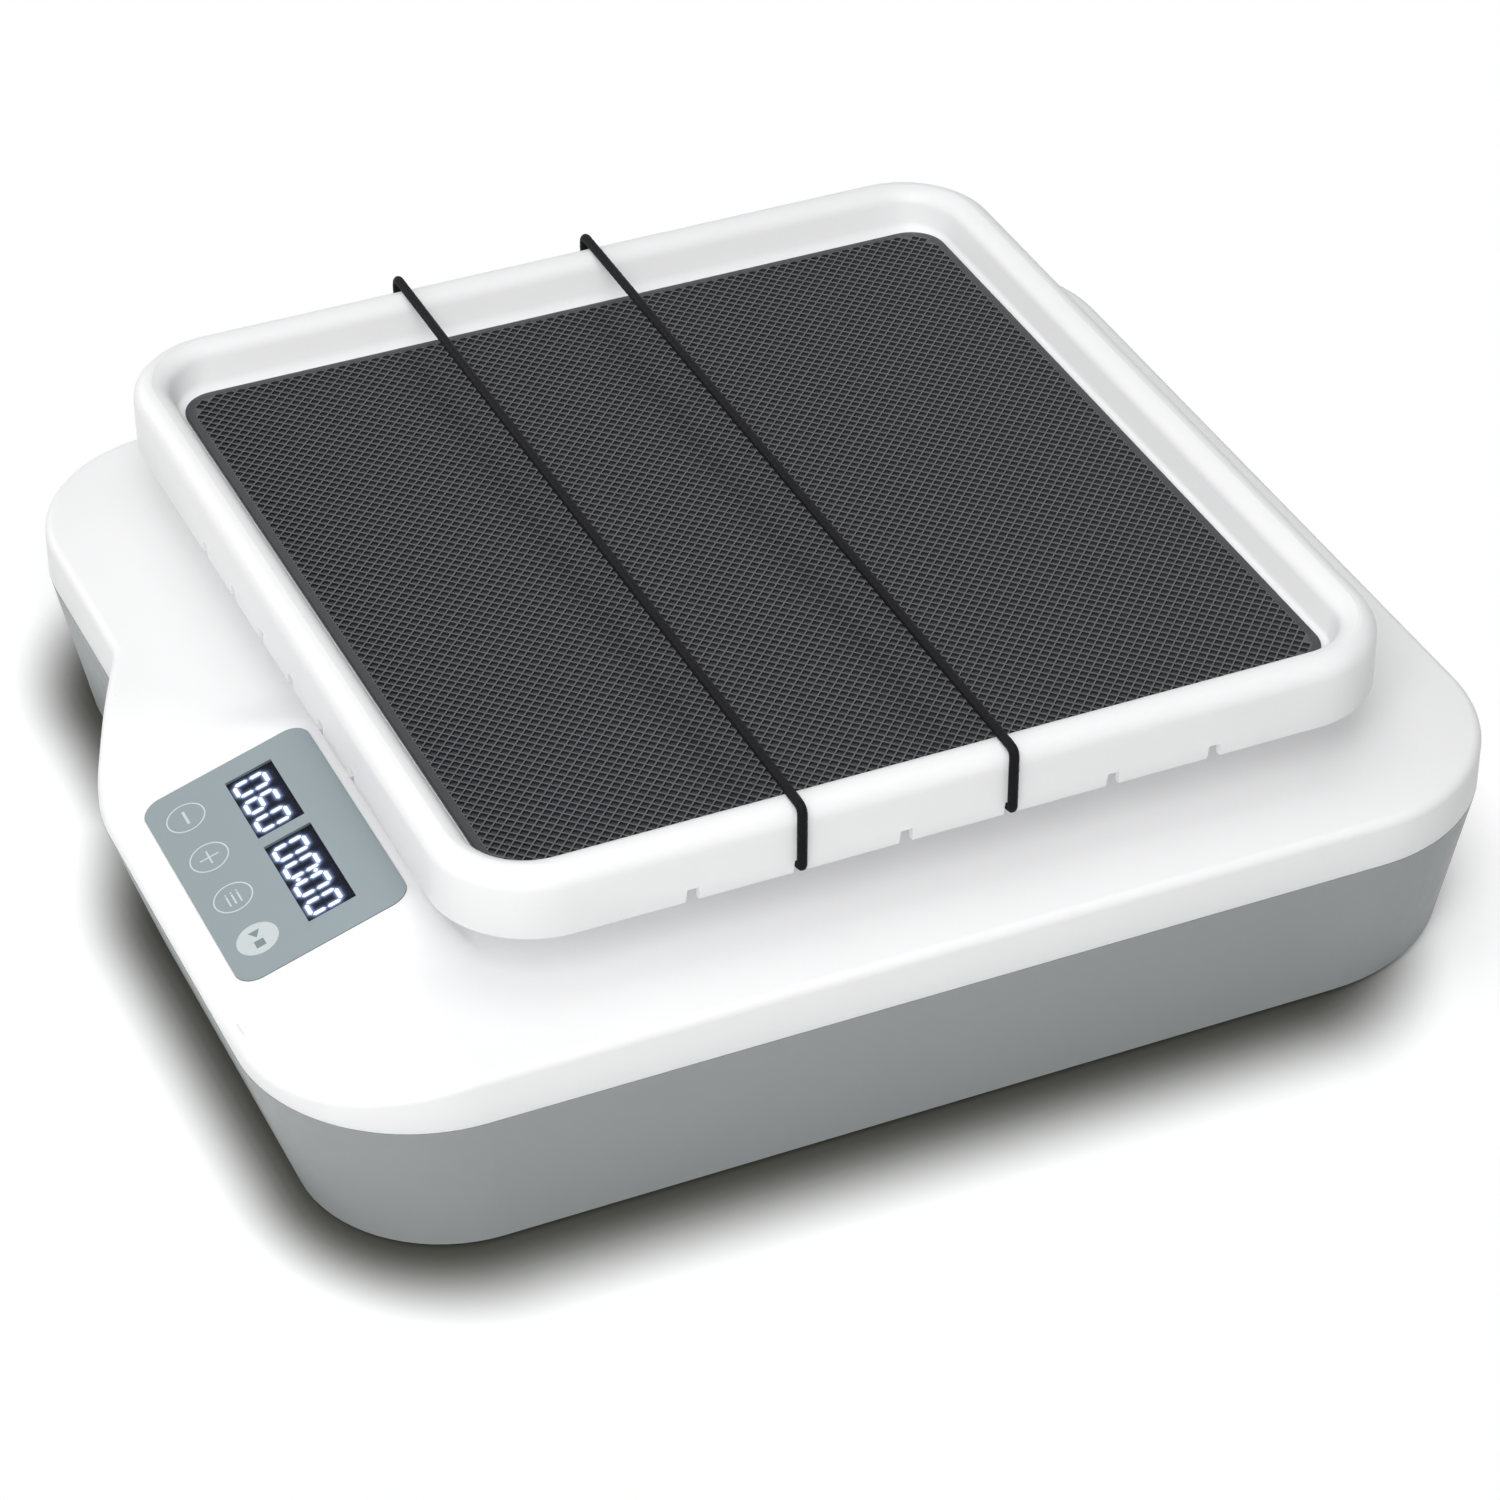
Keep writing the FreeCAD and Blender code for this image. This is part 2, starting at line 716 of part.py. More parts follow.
def window_block(label, name, grow, thickness, low):
    """A block as large as a display window, grown all round, between two depths under the console."""
    start, width = window_places()[name]
    return box(label, (f"{width} + 2 * ({grow})", f"window_height + 2 * ({grow})", thickness),
               (f"{start} - ({grow})", f"panel_setback + window_row - ({grow})", low))


def panel_plate(label, grow, thickness, low):
    middle = ("panel_left + panel_width / 2", "panel_setback + panel_depth / 2")
    wide, deep = f"panel_width + 2 * ({grow})", f"panel_depth + 2 * ({grow})"
    wire = rectangle(wide, deep, f"panel_radius + {grow}", middle, low)
    return extrude(label, wire, thickness)


def top_cover():
    blank = extrude("cover_blank", body_outline("0", "base_top"), "cover_depth")
    raised = join("cover_raised", [blank, console_block("console_outside", "0", "0")])
    sloped = cut("cover_sloped", raised, [slope_cutter("slope_outside", 0.0)])
    drop = value("cover_wall / cos(console_tilt)")
    hollow = extrude("cover_hollow", body_outline("cover_wall", "base_top - overrun"),
                     "cover_depth - cover_wall + overrun")
    under = join("cover_under", [hollow, console_block("console_inside", "cover_wall", "cover_wall")])
    inside = cut("cover_inside", under, [slope_cutter("slope_inside", drop)])
    added, tools = [cut("cover_shell", sloped, [inside])], []
    for i, (x, y) in enumerate(pillar_places()):
        added.append(rod(f"cover_boss_{i}", "pillar_radius", "cover_depth - cover_wall / 2",
                         (x, y, "base_top")))
        tools.append(rod(f"cover_boss_hole_{i}", "housing_screw_radius", "housing_screw_bite",
                         (x, y, "base_top")))
    for i, (x, y) in enumerate(post_places()):
        half = "post_radius + post_slot_gap"
        slot = rectangle(f"2 * ({half}) + stroke", f"2 * ({half})", f"{half} - post_slot_flat / 2",
                         (x, y), "deck_under - overrun")
        tools.append(extrude(f"post_slot_{i}", slot, "cover_wall + 2 * overrun"))
    pocket = panel_plate("panel_pocket", "panel_clearance", "pocket_depth + overrun", "-pocket_depth")
    bosses, holes = [], [pocket]
    for i, (x, y) in enumerate(board_screw_places()):
        bosses.append(rod(f"board_boss_{i}", "board_boss_radius", "display_back - cover_wall / 2",
                          (x, y, "-display_back")))
        holes.append(rod(f"board_boss_hole_{i}", "board_screw_radius", "board_screw_bite",
                         (x, y, "-display_back")))
    for i, (x, y) in enumerate(key_places()):
        holes.append(rod(f"key_stem_hole_{i}", "key_stem_radius + key_stem_gap", "cover_wall + overrun",
                         (x, y, "-cover_wall - overrun")))
    for name in window_places():
        holes.append(window_block(f"{name}_display_hole", name, "display_clearance", "cover_wall + overrun",
                                  "-cover_wall - overrun"))
    added.append(tilt("board_bosses", bosses))
    tools.append(tilt("console_holes", holes))
    keep("top_cover", cut("top_cover", join("cover_with_bosses", added), tools))


def control_panel():
    plate = panel_plate("panel_blank", "0", "panel_thickness", "-pocket_depth")
    holes = [rod(f"panel_key_hole_{i}", "key_radius + key_gap", "panel_thickness + 2 * overrun",
                 (x, y, "-pocket_depth - overrun")) for i, (x, y) in enumerate(key_places())]
    holes += [window_block(f"{name}_window_hole", name, "0", "panel_thickness + 2 * overrun",
                           "-pocket_depth - overrun") for name in window_places()]
    keep("control_panel", tilt("control_panel", [cut("panel_plate", plate, holes)]))


def keys():
    """Each key is a thin disc flush in the panel, with a stem above its switch."""
    for name, (x, y) in zip(("minus", "plus", "mode", "start"), key_places()):
        disc = rod(f"{name}_disc", "key_radius", "panel_thickness - key_travel",
                   (x, y, "panel_proud - panel_thickness + key_travel"))
        stem = rod(f"{name}_stem", "key_stem_radius", "key_stem + key_travel",
                   (x, y, "-pocket_depth - key_stem + key_travel"))
        keep(f"{name}_key", tilt(f"{name}_key", [join(f"{name}_blank", [disc, stem])]))


def segment_face(x, y, length, upright):
    """A lit stroke with pointed ends, from its low left tip."""
    half = value("digit_stroke") / 2
    along = [(0, 0), (half, half), (length - half, half), (length, 0), (length - half, -half), (half, -half)]
    points = [(x + b, y + a) if upright else (x + a, y + b) for a, b in along]
    wire = Part.makePolygon([FreeCAD.Vector(px, py, 0) for px, py in points + points[:1]])
    return Part.Face(wire)


def digit_faces(x, y, figure):
    """The lit strokes of a seven-stroke figure in its box."""
    wide = value("digit_width - digit_stroke")
    tall = value("digit_height - digit_stroke") / 2
    gap, half = value("digit_break"), value("digit_stroke") / 2
    left, right, low = x + half, x + half + wide, y + half
    strokes = {
        "bottom": (left + gap, low, wide - 2 * gap, False),
        "middle": (left + gap, low + tall, wide - 2 * gap, False),
        "top": (left + gap, low + 2 * tall, wide - 2 * gap, False),
        "low left": (left, low + gap, tall - 2 * gap, True),
        "low right": (right, low + gap, tall - 2 * gap, True),
        "high left": (left, low + tall + gap, tall - 2 * gap, True),
        "high right": (right, low + tall + gap, tall - 2 * gap, True),
    }
    dark = {"0": ["middle"], "6": ["high right"]}[figure]
    return [segment_face(*stroke) for name, stroke in strokes.items() if name not in dark]


def display(name, figures):
    """One display: a black module, its lit figures and the clear window over them."""
    start, _ = window_places()[name]
    module = window_block(f"{name}_module", name, "0", "display_depth", "-display_back")
    keep(f"{name}_display", tilt(f"{name}_display", [module]))
    window = window_block(f"{name}_pane", name, "-display_clearance / 2", "window_thickness",
                          "panel_proud - window_thickness")
    keep(f"{name}_window", tilt(f"{name}_window", [window]))
    faces = []
    y = value("panel_setback + window_row + digit_rise")
    for i, figure in enumerate(figures.replace(":", "")):
        faces += digit_faces(value(f"{start} + digit_start + {i} * digit_pitch"), y, figure)
    thick = FreeCAD.Vector(0, 0, value("digit_thickness"))
    solids = [face.extrude(thick) for face in faces]
    if ":" in figures:
        middle = value(f"{start} + digit_start + 2 * digit_pitch - (digit_pitch - digit_width) / 2")
        for rise_share in COLON_SHARES:
            spot = FreeCAD.Vector(middle, y + value("digit_height") * rise_share, 0)
            solids.append(Part.makeCylinder(value("digit_stroke / 2"), value("digit_thickness"), spot))
    lit = sketch(f"{name}_figures", Part.makeCompound(solids))
    place(lit, ("0", "0", "-display_face"))
    keep(f"{name}_digits", tilt(f"{name}_digits", [lit]))


def display_board():
    x, y = "panel_left + board_inset", "panel_setback + board_inset"
    size = ("panel_width - 2 * board_inset", "panel_depth - 2 * board_inset", "board_thickness")
    plate = box("display_board_blank", size, (x, y, "-board_back"))
    holes = [rod(f"display_board_hole_{i}", "board_screw_radius + screw_clearance",
                 "board_thickness + 2 * overrun", (px, py, "-board_back - overrun"))
             for i, (px, py) in enumerate(board_screw_places())]
    keep("display_board", tilt("display_board", [cut("display_board_plate", plate, holes)]))
    switches = []
    top = "-pocket_depth - key_stem - plunger_gap"
    body_top = f"{top} - plunger_height"
    for i, (px, py) in enumerate(key_places()):
        side = "key_switch_size"
        body = box(f"key_switch_body_{i}", (side, side, f"{body_top} + display_back"),
                   (f"{px} - {side} / 2", f"{py} - {side} / 2", "-display_back"))
        plunger = rod(f"key_switch_plunger_{i}", "plunger_radius", f"{top} + display_back",
                      (px, py, "-display_back"))
        switches.append(join(f"key_switch_{i}", [body, plunger]))
    keep("key_switches", tilt("key_switches", switches))
    screws = []
    for i, (px, py) in enumerate(board_screw_places()):
        radius = "board_screw_radius"
        head = rod(f"board_head_{i}", f"{radius} * screw_head_ratio", radius,
                   (px, py, f"-board_back - {radius}"))
        shank = rod(f"board_shank_{i}", radius, "board_thickness + board_screw_bite", (px, py, "-board_back"))
        screws.append(join(f"board_screw_{i}", [head, shank]))
    keep("display_screws", tilt("display_screws", screws))


def notch_cutters():
    """Six notches in the lower edge of each side, one flank of each slanted."""
    deep, wide, slant = value("notch_depth"), value("notch_width"), value("notch_slant")
    low, reach = value("overrun"), value("tray_wall + 2 * overrun")
    profile = [(-wide / 2, -low), (wide / 2, -low), (wide / 2, deep), (slant - wide / 2, deep)]
    count = round(value("notch_count"))
    cutters = []
    for quarter in range(4):
        long_side = quarter % 2 == 0
        edge = value("tray_width / 2" if long_side else "tray_length / 2")
        pitch = value("notch_pitch_side" if long_side else "notch_pitch_end")
        for i in range(count):
            middle = (i - (count - 1) / 2) * pitch
            points = [FreeCAD.Vector(edge + low, middle + u, v) for u, v in profile]
            face = Part.Face(Part.makePolygon(points + points[:1]))
            solid = face.extrude(FreeCAD.Vector(-reach, 0, 0))
            solid.rotate(FreeCAD.Vector(0, 0, 0), FreeCAD.Vector(0, 0, 1), 90 * quarter)
            cutters.append(solid)
    piece = sketch("notches", Part.makeCompound(cutters))
    return place(piece, ("0", "tray_shift", "tray_bottom"))


def shaking_tray():
    middle = ("0", "tray_shift")
    outside = rectangle("tray_width", "tray_length", "tray_radius", middle, "tray_bottom")
    blank = extrude("tray_blank", outside, "tray_height")
    half_x, half_y, y = "tray_width / 2", "tray_length / 2", "tray_shift"
    rounded = round_edges("tray_rounded", blank, "rim_round", (f"-{half_x}", f"{y} - {half_y}", "tray_top"),
                          (half_x, f"{y} + {half_y}", "tray_top"))
    mouth_width, mouth_length = "tray_width - 2 * rim_width", "tray_length - 2 * rim_width"
    well = loft("tray_well", [
        rectangle("well_width", "well_length", "well_radius", middle, "tray_slab_top"),
        rectangle(mouth_width, mouth_length, "tray_radius - rim_width", middle, "tray_top")])
    soft_well = round_edges("tray_soft_well", well, "well_round",
                            ("-well_width / 2", f"{y} - well_length / 2", "tray_slab_top"),
                            ("well_width / 2", f"{y} + well_length / 2", "tray_slab_top"))
    dished = cut("tray_dished", rounded, [soft_well])
    rim = round_edges("tray_rim", dished, "rim_inner_round",
                      (f"-({mouth_width}) / 2", f"{y} - ({mouth_length}) / 2", "tray_top"),
                      (f"({mouth_width}) / 2", f"{y} + ({mouth_length}) / 2", "tray_top"))
    walls = ("tray_width - 2 * tray_wall", "tray_length - 2 * tray_wall", "tray_radius - tray_wall")
    under = extrude("tray_hollow", rectangle(*walls, middle, "tray_bottom - overrun"),
                    "tray_floor_level - tray_floor + overrun")
    groove_blank = extrude("groove_blank", rectangle(*walls, middle, "tray_bottom"), "groove_top")
    core = [f"{size} - {steps} * groove_width" for size, steps in zip(walls, (2, 2, 1))]
    groove_core = extrude("groove_core", rectangle(*core, middle, "tray_bottom - overrun"),
                          "groove_top + 2 * overrun")
    groove = cut("groove", groove_blank, [groove_core])
    tools = [under, groove, notch_cutters()]
    for i, (x, y_place) in enumerate(post_places()):
        radius = "tray_screw_radius + screw_clearance"
        tools.append(rod(f"tray_screw_hole_{i}", radius, "tray_floor + overrun",
                         (x, y_place, "tray_slab_under - overrun")))
        drop = "tray_screw_radius * (screw_head_ratio - 1)"
        tools.append(cone(f"tray_countersink_{i}", "tray_screw_radius",
                          "tray_screw_radius * screw_head_ratio", drop, (x, y_place, f"tray_slab_top - {drop}")))
    keep("shaking_tray", cut("shaking_tray", rim, tools))
    mat = rectangle("well_width - 2 * mat_gap", "well_length - 2 * mat_gap", "mat_radius", middle,
                    "tray_slab_top")
    keep("tray_mat", extrude("tray_mat", mat, "mat_thickness"))


def tray_screws():
    """Countersunk screws that hold the tray on its posts, hidden by the mat."""
    screws = []
    drop = "tray_screw_radius * (screw_head_ratio - 1)"
    for i, (x, y) in enumerate(post_places()):
        head = cone(f"tray_head_{i}", "tray_screw_radius", "tray_screw_radius * screw_head_ratio", drop,
                    (x, y, f"tray_slab_top - {drop}"))
        shank = rod(f"tray_shank_{i}", "tray_screw_radius", f"tray_screw_length - {drop}",
                    (x, y, "tray_slab_top - tray_screw_length"))
        screws.append(join(f"tray_screw_{i}", [head, shank]))
    keep("tray_screws", together("tray_screws", screws))


def cord_route(y):
    """Middle line of a taut cord: ferrule, notch, up the outer wall, round the rim and straight across."""
    out = value("tray_width / 2 + cord_radius + cord_seat")
    turn, over = value("cord_turn_radius"), value("rim_round + cord_radius + cord_seat")
    low = value("tray_bottom + notch_depth - cord_radius - cord_seat")
    high = value("tray_top + cord_radius + cord_seat")
    end = value("tray_width / 2 - tray_wall - ferrule_gap - ferrule_length")
    bend = math.sqrt(0.5)

    def at(x, z):
        return FreeCAD.Vector(x, y, z)
    notch_in, notch_mid, notch_out = (
        at(out - turn, low), at(out - turn + turn * bend, low + turn - turn * bend), at(out, low + turn))
    rim_in, rim_mid, rim_out = (
        at(out, high - over), at(out - over + over * bend, high - over + over * bend), at(out - over, high))
    half = [
        Part.LineSegment(at(end, low), notch_in),
        Part.Arc(notch_in, notch_mid, notch_out),
        Part.LineSegment(notch_out, rim_in),
        Part.Arc(rim_in, rim_mid, rim_out),
        Part.LineSegment(rim_out, at(0, high)),
    ]
    right = [curve.toShape() for curve in half]
    plane = FreeCAD.Vector(1, 0, 0)
    left = [edge.mirror(FreeCAD.Vector(0, 0, 0), plane) for edge in reversed(right)]
    return Part.Wire(Part.__sortEdges__(right + left)), end, low


def cords():
    """Two elastic cords over the tray, in the second and fourth notch from the front, and their ferrules."""
    pitch = "notch_pitch_side"
    ferrules = []
    for name, steps in (("front", -1.5), ("rear", 0.5)):
        y = value(f"tray_shift + {steps} * {pitch}")
        route, end, low = cord_route(y)
        middle = FreeCAD.Vector(end, y, low)
        ring = Part.Circle(middle, FreeCAD.Vector(1, 0, 0), value("cord_radius")).toShape()
        tube = route.makePipeShell([Part.Wire([ring])], True, False)
        print(name, "cord", round(route.Length, 1), "mm, volume over section times length:",
              round(tube.Volume / (route.Length * math.pi * value("cord_radius") ** 2), 4))
        keep(f"{name}_cord", sketch(f"{name}_cord", tube))
        for side in (1, -1):
            start = "tray_width / 2 - tray_wall - ferrule_gap - ferrule_length"
            low_x = start if side > 0 else f"-({start}) - ferrule_length"
            level = "tray_bottom + notch_depth - cord_radius - cord_seat"
            at = (low_x, f"tray_shift + {steps} * {pitch}", level)
            shell = rod(f"{name}_ferrule_{side + 1}", "ferrule_radius", "ferrule_length", at, "X")
            bore = rod(f"{name}_ferrule_bore_{side + 1}", "cord_radius", "ferrule_length", at, "X")
            ferrules.append(cut(f"{name}_ferrule_shell_{side + 1}", shell, [bore]))
    keep("cord_ferrules", together("cord_ferrules", ferrules))


def chassis():
    depth = "2 * chassis_half_depth"
    plate = box("chassis_blank", ("chassis_left + chassis_right", depth, "chassis_thickness"),
                ("-chassis_left", "tray_shift - chassis_half_depth", "chassis_level"))
    holes = [rod(f"chassis_hole_{i}", "chassis_screw_radius + screw_clearance",
                 "chassis_thickness + 2 * overrun", (x, y, "chassis_level - overrun"))
             for i, (x, y) in enumerate(chassis_boss_places())]
    keep("chassis_plate", cut("chassis_plate", plate, holes))
    screws = [pan_screw(f"chassis_screw_{i}", "chassis_screw_radius",
                        "chassis_thickness + chassis_screw_bite", (x, y, "chassis_top"))
              for i, (x, y) in enumerate(chassis_boss_places())]
    keep("chassis_screws", together("chassis_screws", screws))


def guide_rods():
    rods, supports, screws = [], [], []
    for j, row in ((1, "front"), (-1, "rear")):
        y = f"tray_shift - {j} * rod_spread"
        rods.append(rod(f"{row}_rod", "rod_radius", "rod_length", ("-rod_length / 2", y, "rod_level"), "X"))
        for k in (1, -1):
            x = f"{k} * (rod_length - support_length) / 2"
            name = f"{row}_support_{k + 1}"
            foot = slab(name + "_foot", ("support_length", "support_foot_width", "support_foot_height"),
                        (x, y), "chassis_top")
            block = slab(name + "_block", ("support_length", "support_width", "support_height"), (x, y),
                         "chassis_top")
            tools = [rod(name + "_bore", "rod_radius", "support_length + 2 * overrun",
                         (f"{x} - support_length / 2 - overrun", y, "rod_level"), "X")]
            for side in (1, -1):
                at = (x, f"{y} + {side} * support_screw_spread", "chassis_top + support_foot_height")
                tools.append(rod(f"{name}_hole_{side + 1}", "chassis_screw_radius + screw_clearance",
                                 "support_foot_height + overrun", (*at[:2], "chassis_top - overrun / 2")))
                screws.append(pan_screw(f"{name}_screw_{side + 1}", "chassis_screw_radius",
                                        "support_foot_height", at))
            supports.append(cut(name, join(name + "_blank", [foot, block]), tools))
    keep("guide_rods", together("guide_rods", rods))
    keep("rod_supports", together("rod_supports", supports))
    keep("support_screws", together("support_screws", screws))


def carriage():
    bearings, posts, tools = [], [], []
    for i, (x, y) in enumerate(post_places()):
        block = slab(f"bearing_block_{i}", ("bearing_length", "bearing_width", "bearing_height"), (x, y),
                     "rod_level - bearing_height / 2")
        bore = rod(f"bearing_bore_{i}", "rod_radius + bearing_play", "bearing_length + 2 * overrun",
                   (f"{x} - bearing_length / 2 - overrun", y, "rod_level"), "X")
        stud_low = "carriage_top - post_stud"
        stud_hole = rod(f"bearing_stud_hole_{i}", "post_stud_radius", "post_stud", (x, y, stud_low))
        bearings.append(cut(f"linear_bearing_{i}", block, [bore, stud_hole]))
        tools.append(rod(f"carriage_hole_{i}", "post_stud_radius", "post_stud", (x, y, stud_low)))
        post = rod(f"post_{i}", "post_radius", "tray_slab_under - carriage_top", (x, y, "carriage_top"))
        stud = rod(f"post_stud_{i}", "post_stud_radius", "post_stud", (x, y, stud_low))
        thread = rod(f"post_thread_{i}", "tray_screw_radius", "tray_screw_length",
                     (x, y, "tray_slab_top - tray_screw_length"))
        posts.append(cut(f"platform_post_{i}", join(f"post_blank_{i}", [post, stud]), [thread]))
    keep("linear_bearings", together("linear_bearings", bearings))
    keep("platform_posts", together("platform_posts", posts))
    yoke_screws = []
    plate = slab("carriage_blank", ("carriage_width", "carriage_depth", "carriage_thickness"),
                 ("0", "tray_shift"), "carriage_level")
    yoke_blank = slab("yoke_blank", ("yoke_width", "yoke_depth", "yoke_thickness"), ("0", "tray_shift"),
                      "yoke_level")
    slot = rectangle("2 * (roller_radius + yoke_play)", "2 * (roller_radius + crank_reach + roller_gap)",
                     "roller_radius", ("0", "tray_shift"), "yoke_level - overrun")
    yoke_tools = [extrude("yoke_slot", slot, "yoke_thickness + overrun")]
    for i, j in enumerate((1, -1)):
        x, y = "0", f"tray_shift + {j} * yoke_screw_spread"
        radius = "yoke_screw_radius"
        yoke_tools.append(rod(f"yoke_hole_{i}", radius, "yoke_thickness + overrun",
                              (x, y, "yoke_level - overrun / 2")))
        tools.append(rod(f"carriage_yoke_hole_{i}", radius, "carriage_thickness + overrun",
                         (x, y, "carriage_level - overrun / 2")))
        tall = f"{radius} * (screw_head_ratio - 1)"
        sink = cone(f"yoke_countersink_{i}", f"{radius} * screw_head_ratio", radius, tall,
                    (x, y, "yoke_level"))
        yoke_tools.append(sink)
        head = cone(f"yoke_head_{i}", f"{radius} * screw_head_ratio", radius, tall, (x, y, "yoke_level"))
        shank = rod(f"yoke_shank_{i}", radius, "yoke_thickness + carriage_thickness", (x, y, "yoke_level"))
        yoke_screws.append(join(f"yoke_screw_{i}", [head, shank]))
    keep("carriage_plate", cut("carriage_plate", plate, tools))
    keep("yoke_plate", cut("yoke_plate", yoke_blank, yoke_tools))
    keep("yoke_screws", together("yoke_screws", yoke_screws))


def flanged_pulley(label, radius, middle):
    """A belt pulley with a rim above and below its band."""
    x, y = middle
    band = rod(label + "_band", radius, "pulley_width", (x, y, "pulley_level"))
    low = rod(label + "_low_rim", f"{radius} + pulley_flange", "flange_thickness", (x, y, "pulley_level"))
    high = rod(label + "_high_rim", f"{radius} + pulley_flange", "flange_thickness",
               (x, y, "pulley_top - flange_thickness"))
    return join(label, [band, low, high])


def crank():
    middle = ("0", "tray_shift")
    pin_middle = ("0", "tray_shift - crank_reach")
    flange = rod("crank_bearing_flange", "bearing_flange_radius", "bearing_flange", (*middle, "chassis_top"))
    barrel = rod("crank_bearing_barrel", "bearing_barrel_radius", "bearing_barrel", (*middle, "chassis_top"))
    bore = rod("crank_bearing_bore", "shaft_radius + shaft_play", "bearing_barrel",
               (*middle, "chassis_top + flange_thickness"))
    keep("crank_bearing", cut("crank_bearing", join("crank_bearing_blank", [flange, barrel]), [bore]))
    foot = "chassis_top + flange_thickness + shaft_play"
    shaft_top = "pulley_top - crank_pin_bite - flange_thickness / 2"
    keep("crank_shaft", rod("crank_shaft", "shaft_radius", f"{shaft_top} - ({foot})", (*middle, foot)))
    shaft_hole = rod("crank_pulley_bore", "shaft_radius", f"{shaft_top} - pulley_level + overrun",
                     (*middle, "pulley_level - overrun"))
    pin_hole = rod("crank_pin_hole", "crank_pin_radius", "crank_pin_bite + overrun",
                   (*pin_middle, "pulley_top - crank_pin_bite"))
    wheel = flanged_pulley("crank_pulley_blank", "crank_pulley_radius", middle)
    keep("crank_pulley", cut("crank_pulley", wheel, [shaft_hole, pin_hole]))
    pin_foot = "pulley_top - crank_pin_bite"
    pin = rod("crank_pin_bar", "crank_pin_radius", f"carriage_level - roller_gap - ({pin_foot})",
              (*pin_middle, pin_foot))
    collar = rod("crank_pin_collar", "(crank_pin_radius + roller_radius) / 2", "roller_gap",
                 (*pin_middle, "pulley_top"))
    keep("crank_pin", join("crank_pin", [pin, collar]))
    low = "pulley_top + roller_gap + shaft_play"
    tall = f"carriage_level - roller_gap - ({low})"
    wheel = rod("roller_blank", "roller_radius", tall, (*pin_middle, low))
    eye = rod("roller_eye", "crank_pin_radius + shaft_play", tall, (*pin_middle, low))
    keep("pin_roller", cut("pin_roller", wheel, [eye]))
    outer = rod("counterweight_disc", "crank_pulley_radius", "counterweight_height", (*middle, "pulley_top"))
    inner = rod("counterweight_core", "crank_pulley_radius - counterweight_width", "counterweight_height",
                (*middle, "pulley_top"))
    half = box("counterweight_half",
               ("2 * crank_pulley_radius", "crank_pulley_radius", "counterweight_height"),
               ("-crank_pulley_radius", "tray_shift - crank_pulley_radius", "pulley_top"))
    keep("counterweight", cut("counterweight", outer, [inner, half]))


def belt_wire(grow):
    """The belt's loop round both pulleys, at a distance outside their bands."""
    big, small = value("crank_pulley_radius") + grow, value("motor_pulley_radius") + grow
    span, y = value("belt_centres"), value("tray_shift")
    lean_angle = math.acos((big - small) / span)
    level = value("(pulley_level + pulley_top - belt_width) / 2")

    def on(radius, x, angle):
        return FreeCAD.Vector(x - radius * math.cos(angle), y + radius * math.sin(angle), level)
    big_high, big_low, big_far = on(big, 0, lean_angle), on(big, 0, -lean_angle), on(big, 0, math.pi)
    small_high, small_low = on(small, -span, lean_angle), on(small, -span, -lean_angle)
    small_far = on(small, -span, 0)
    return Part.Wire([
        Part.Arc(big_high, big_far, big_low).toShape(),
        Part.LineSegment(big_low, small_low).toShape(),
        Part.Arc(small_low, small_far, small_high).toShape(),
        Part.LineSegment(small_high, big_high).toShape()])


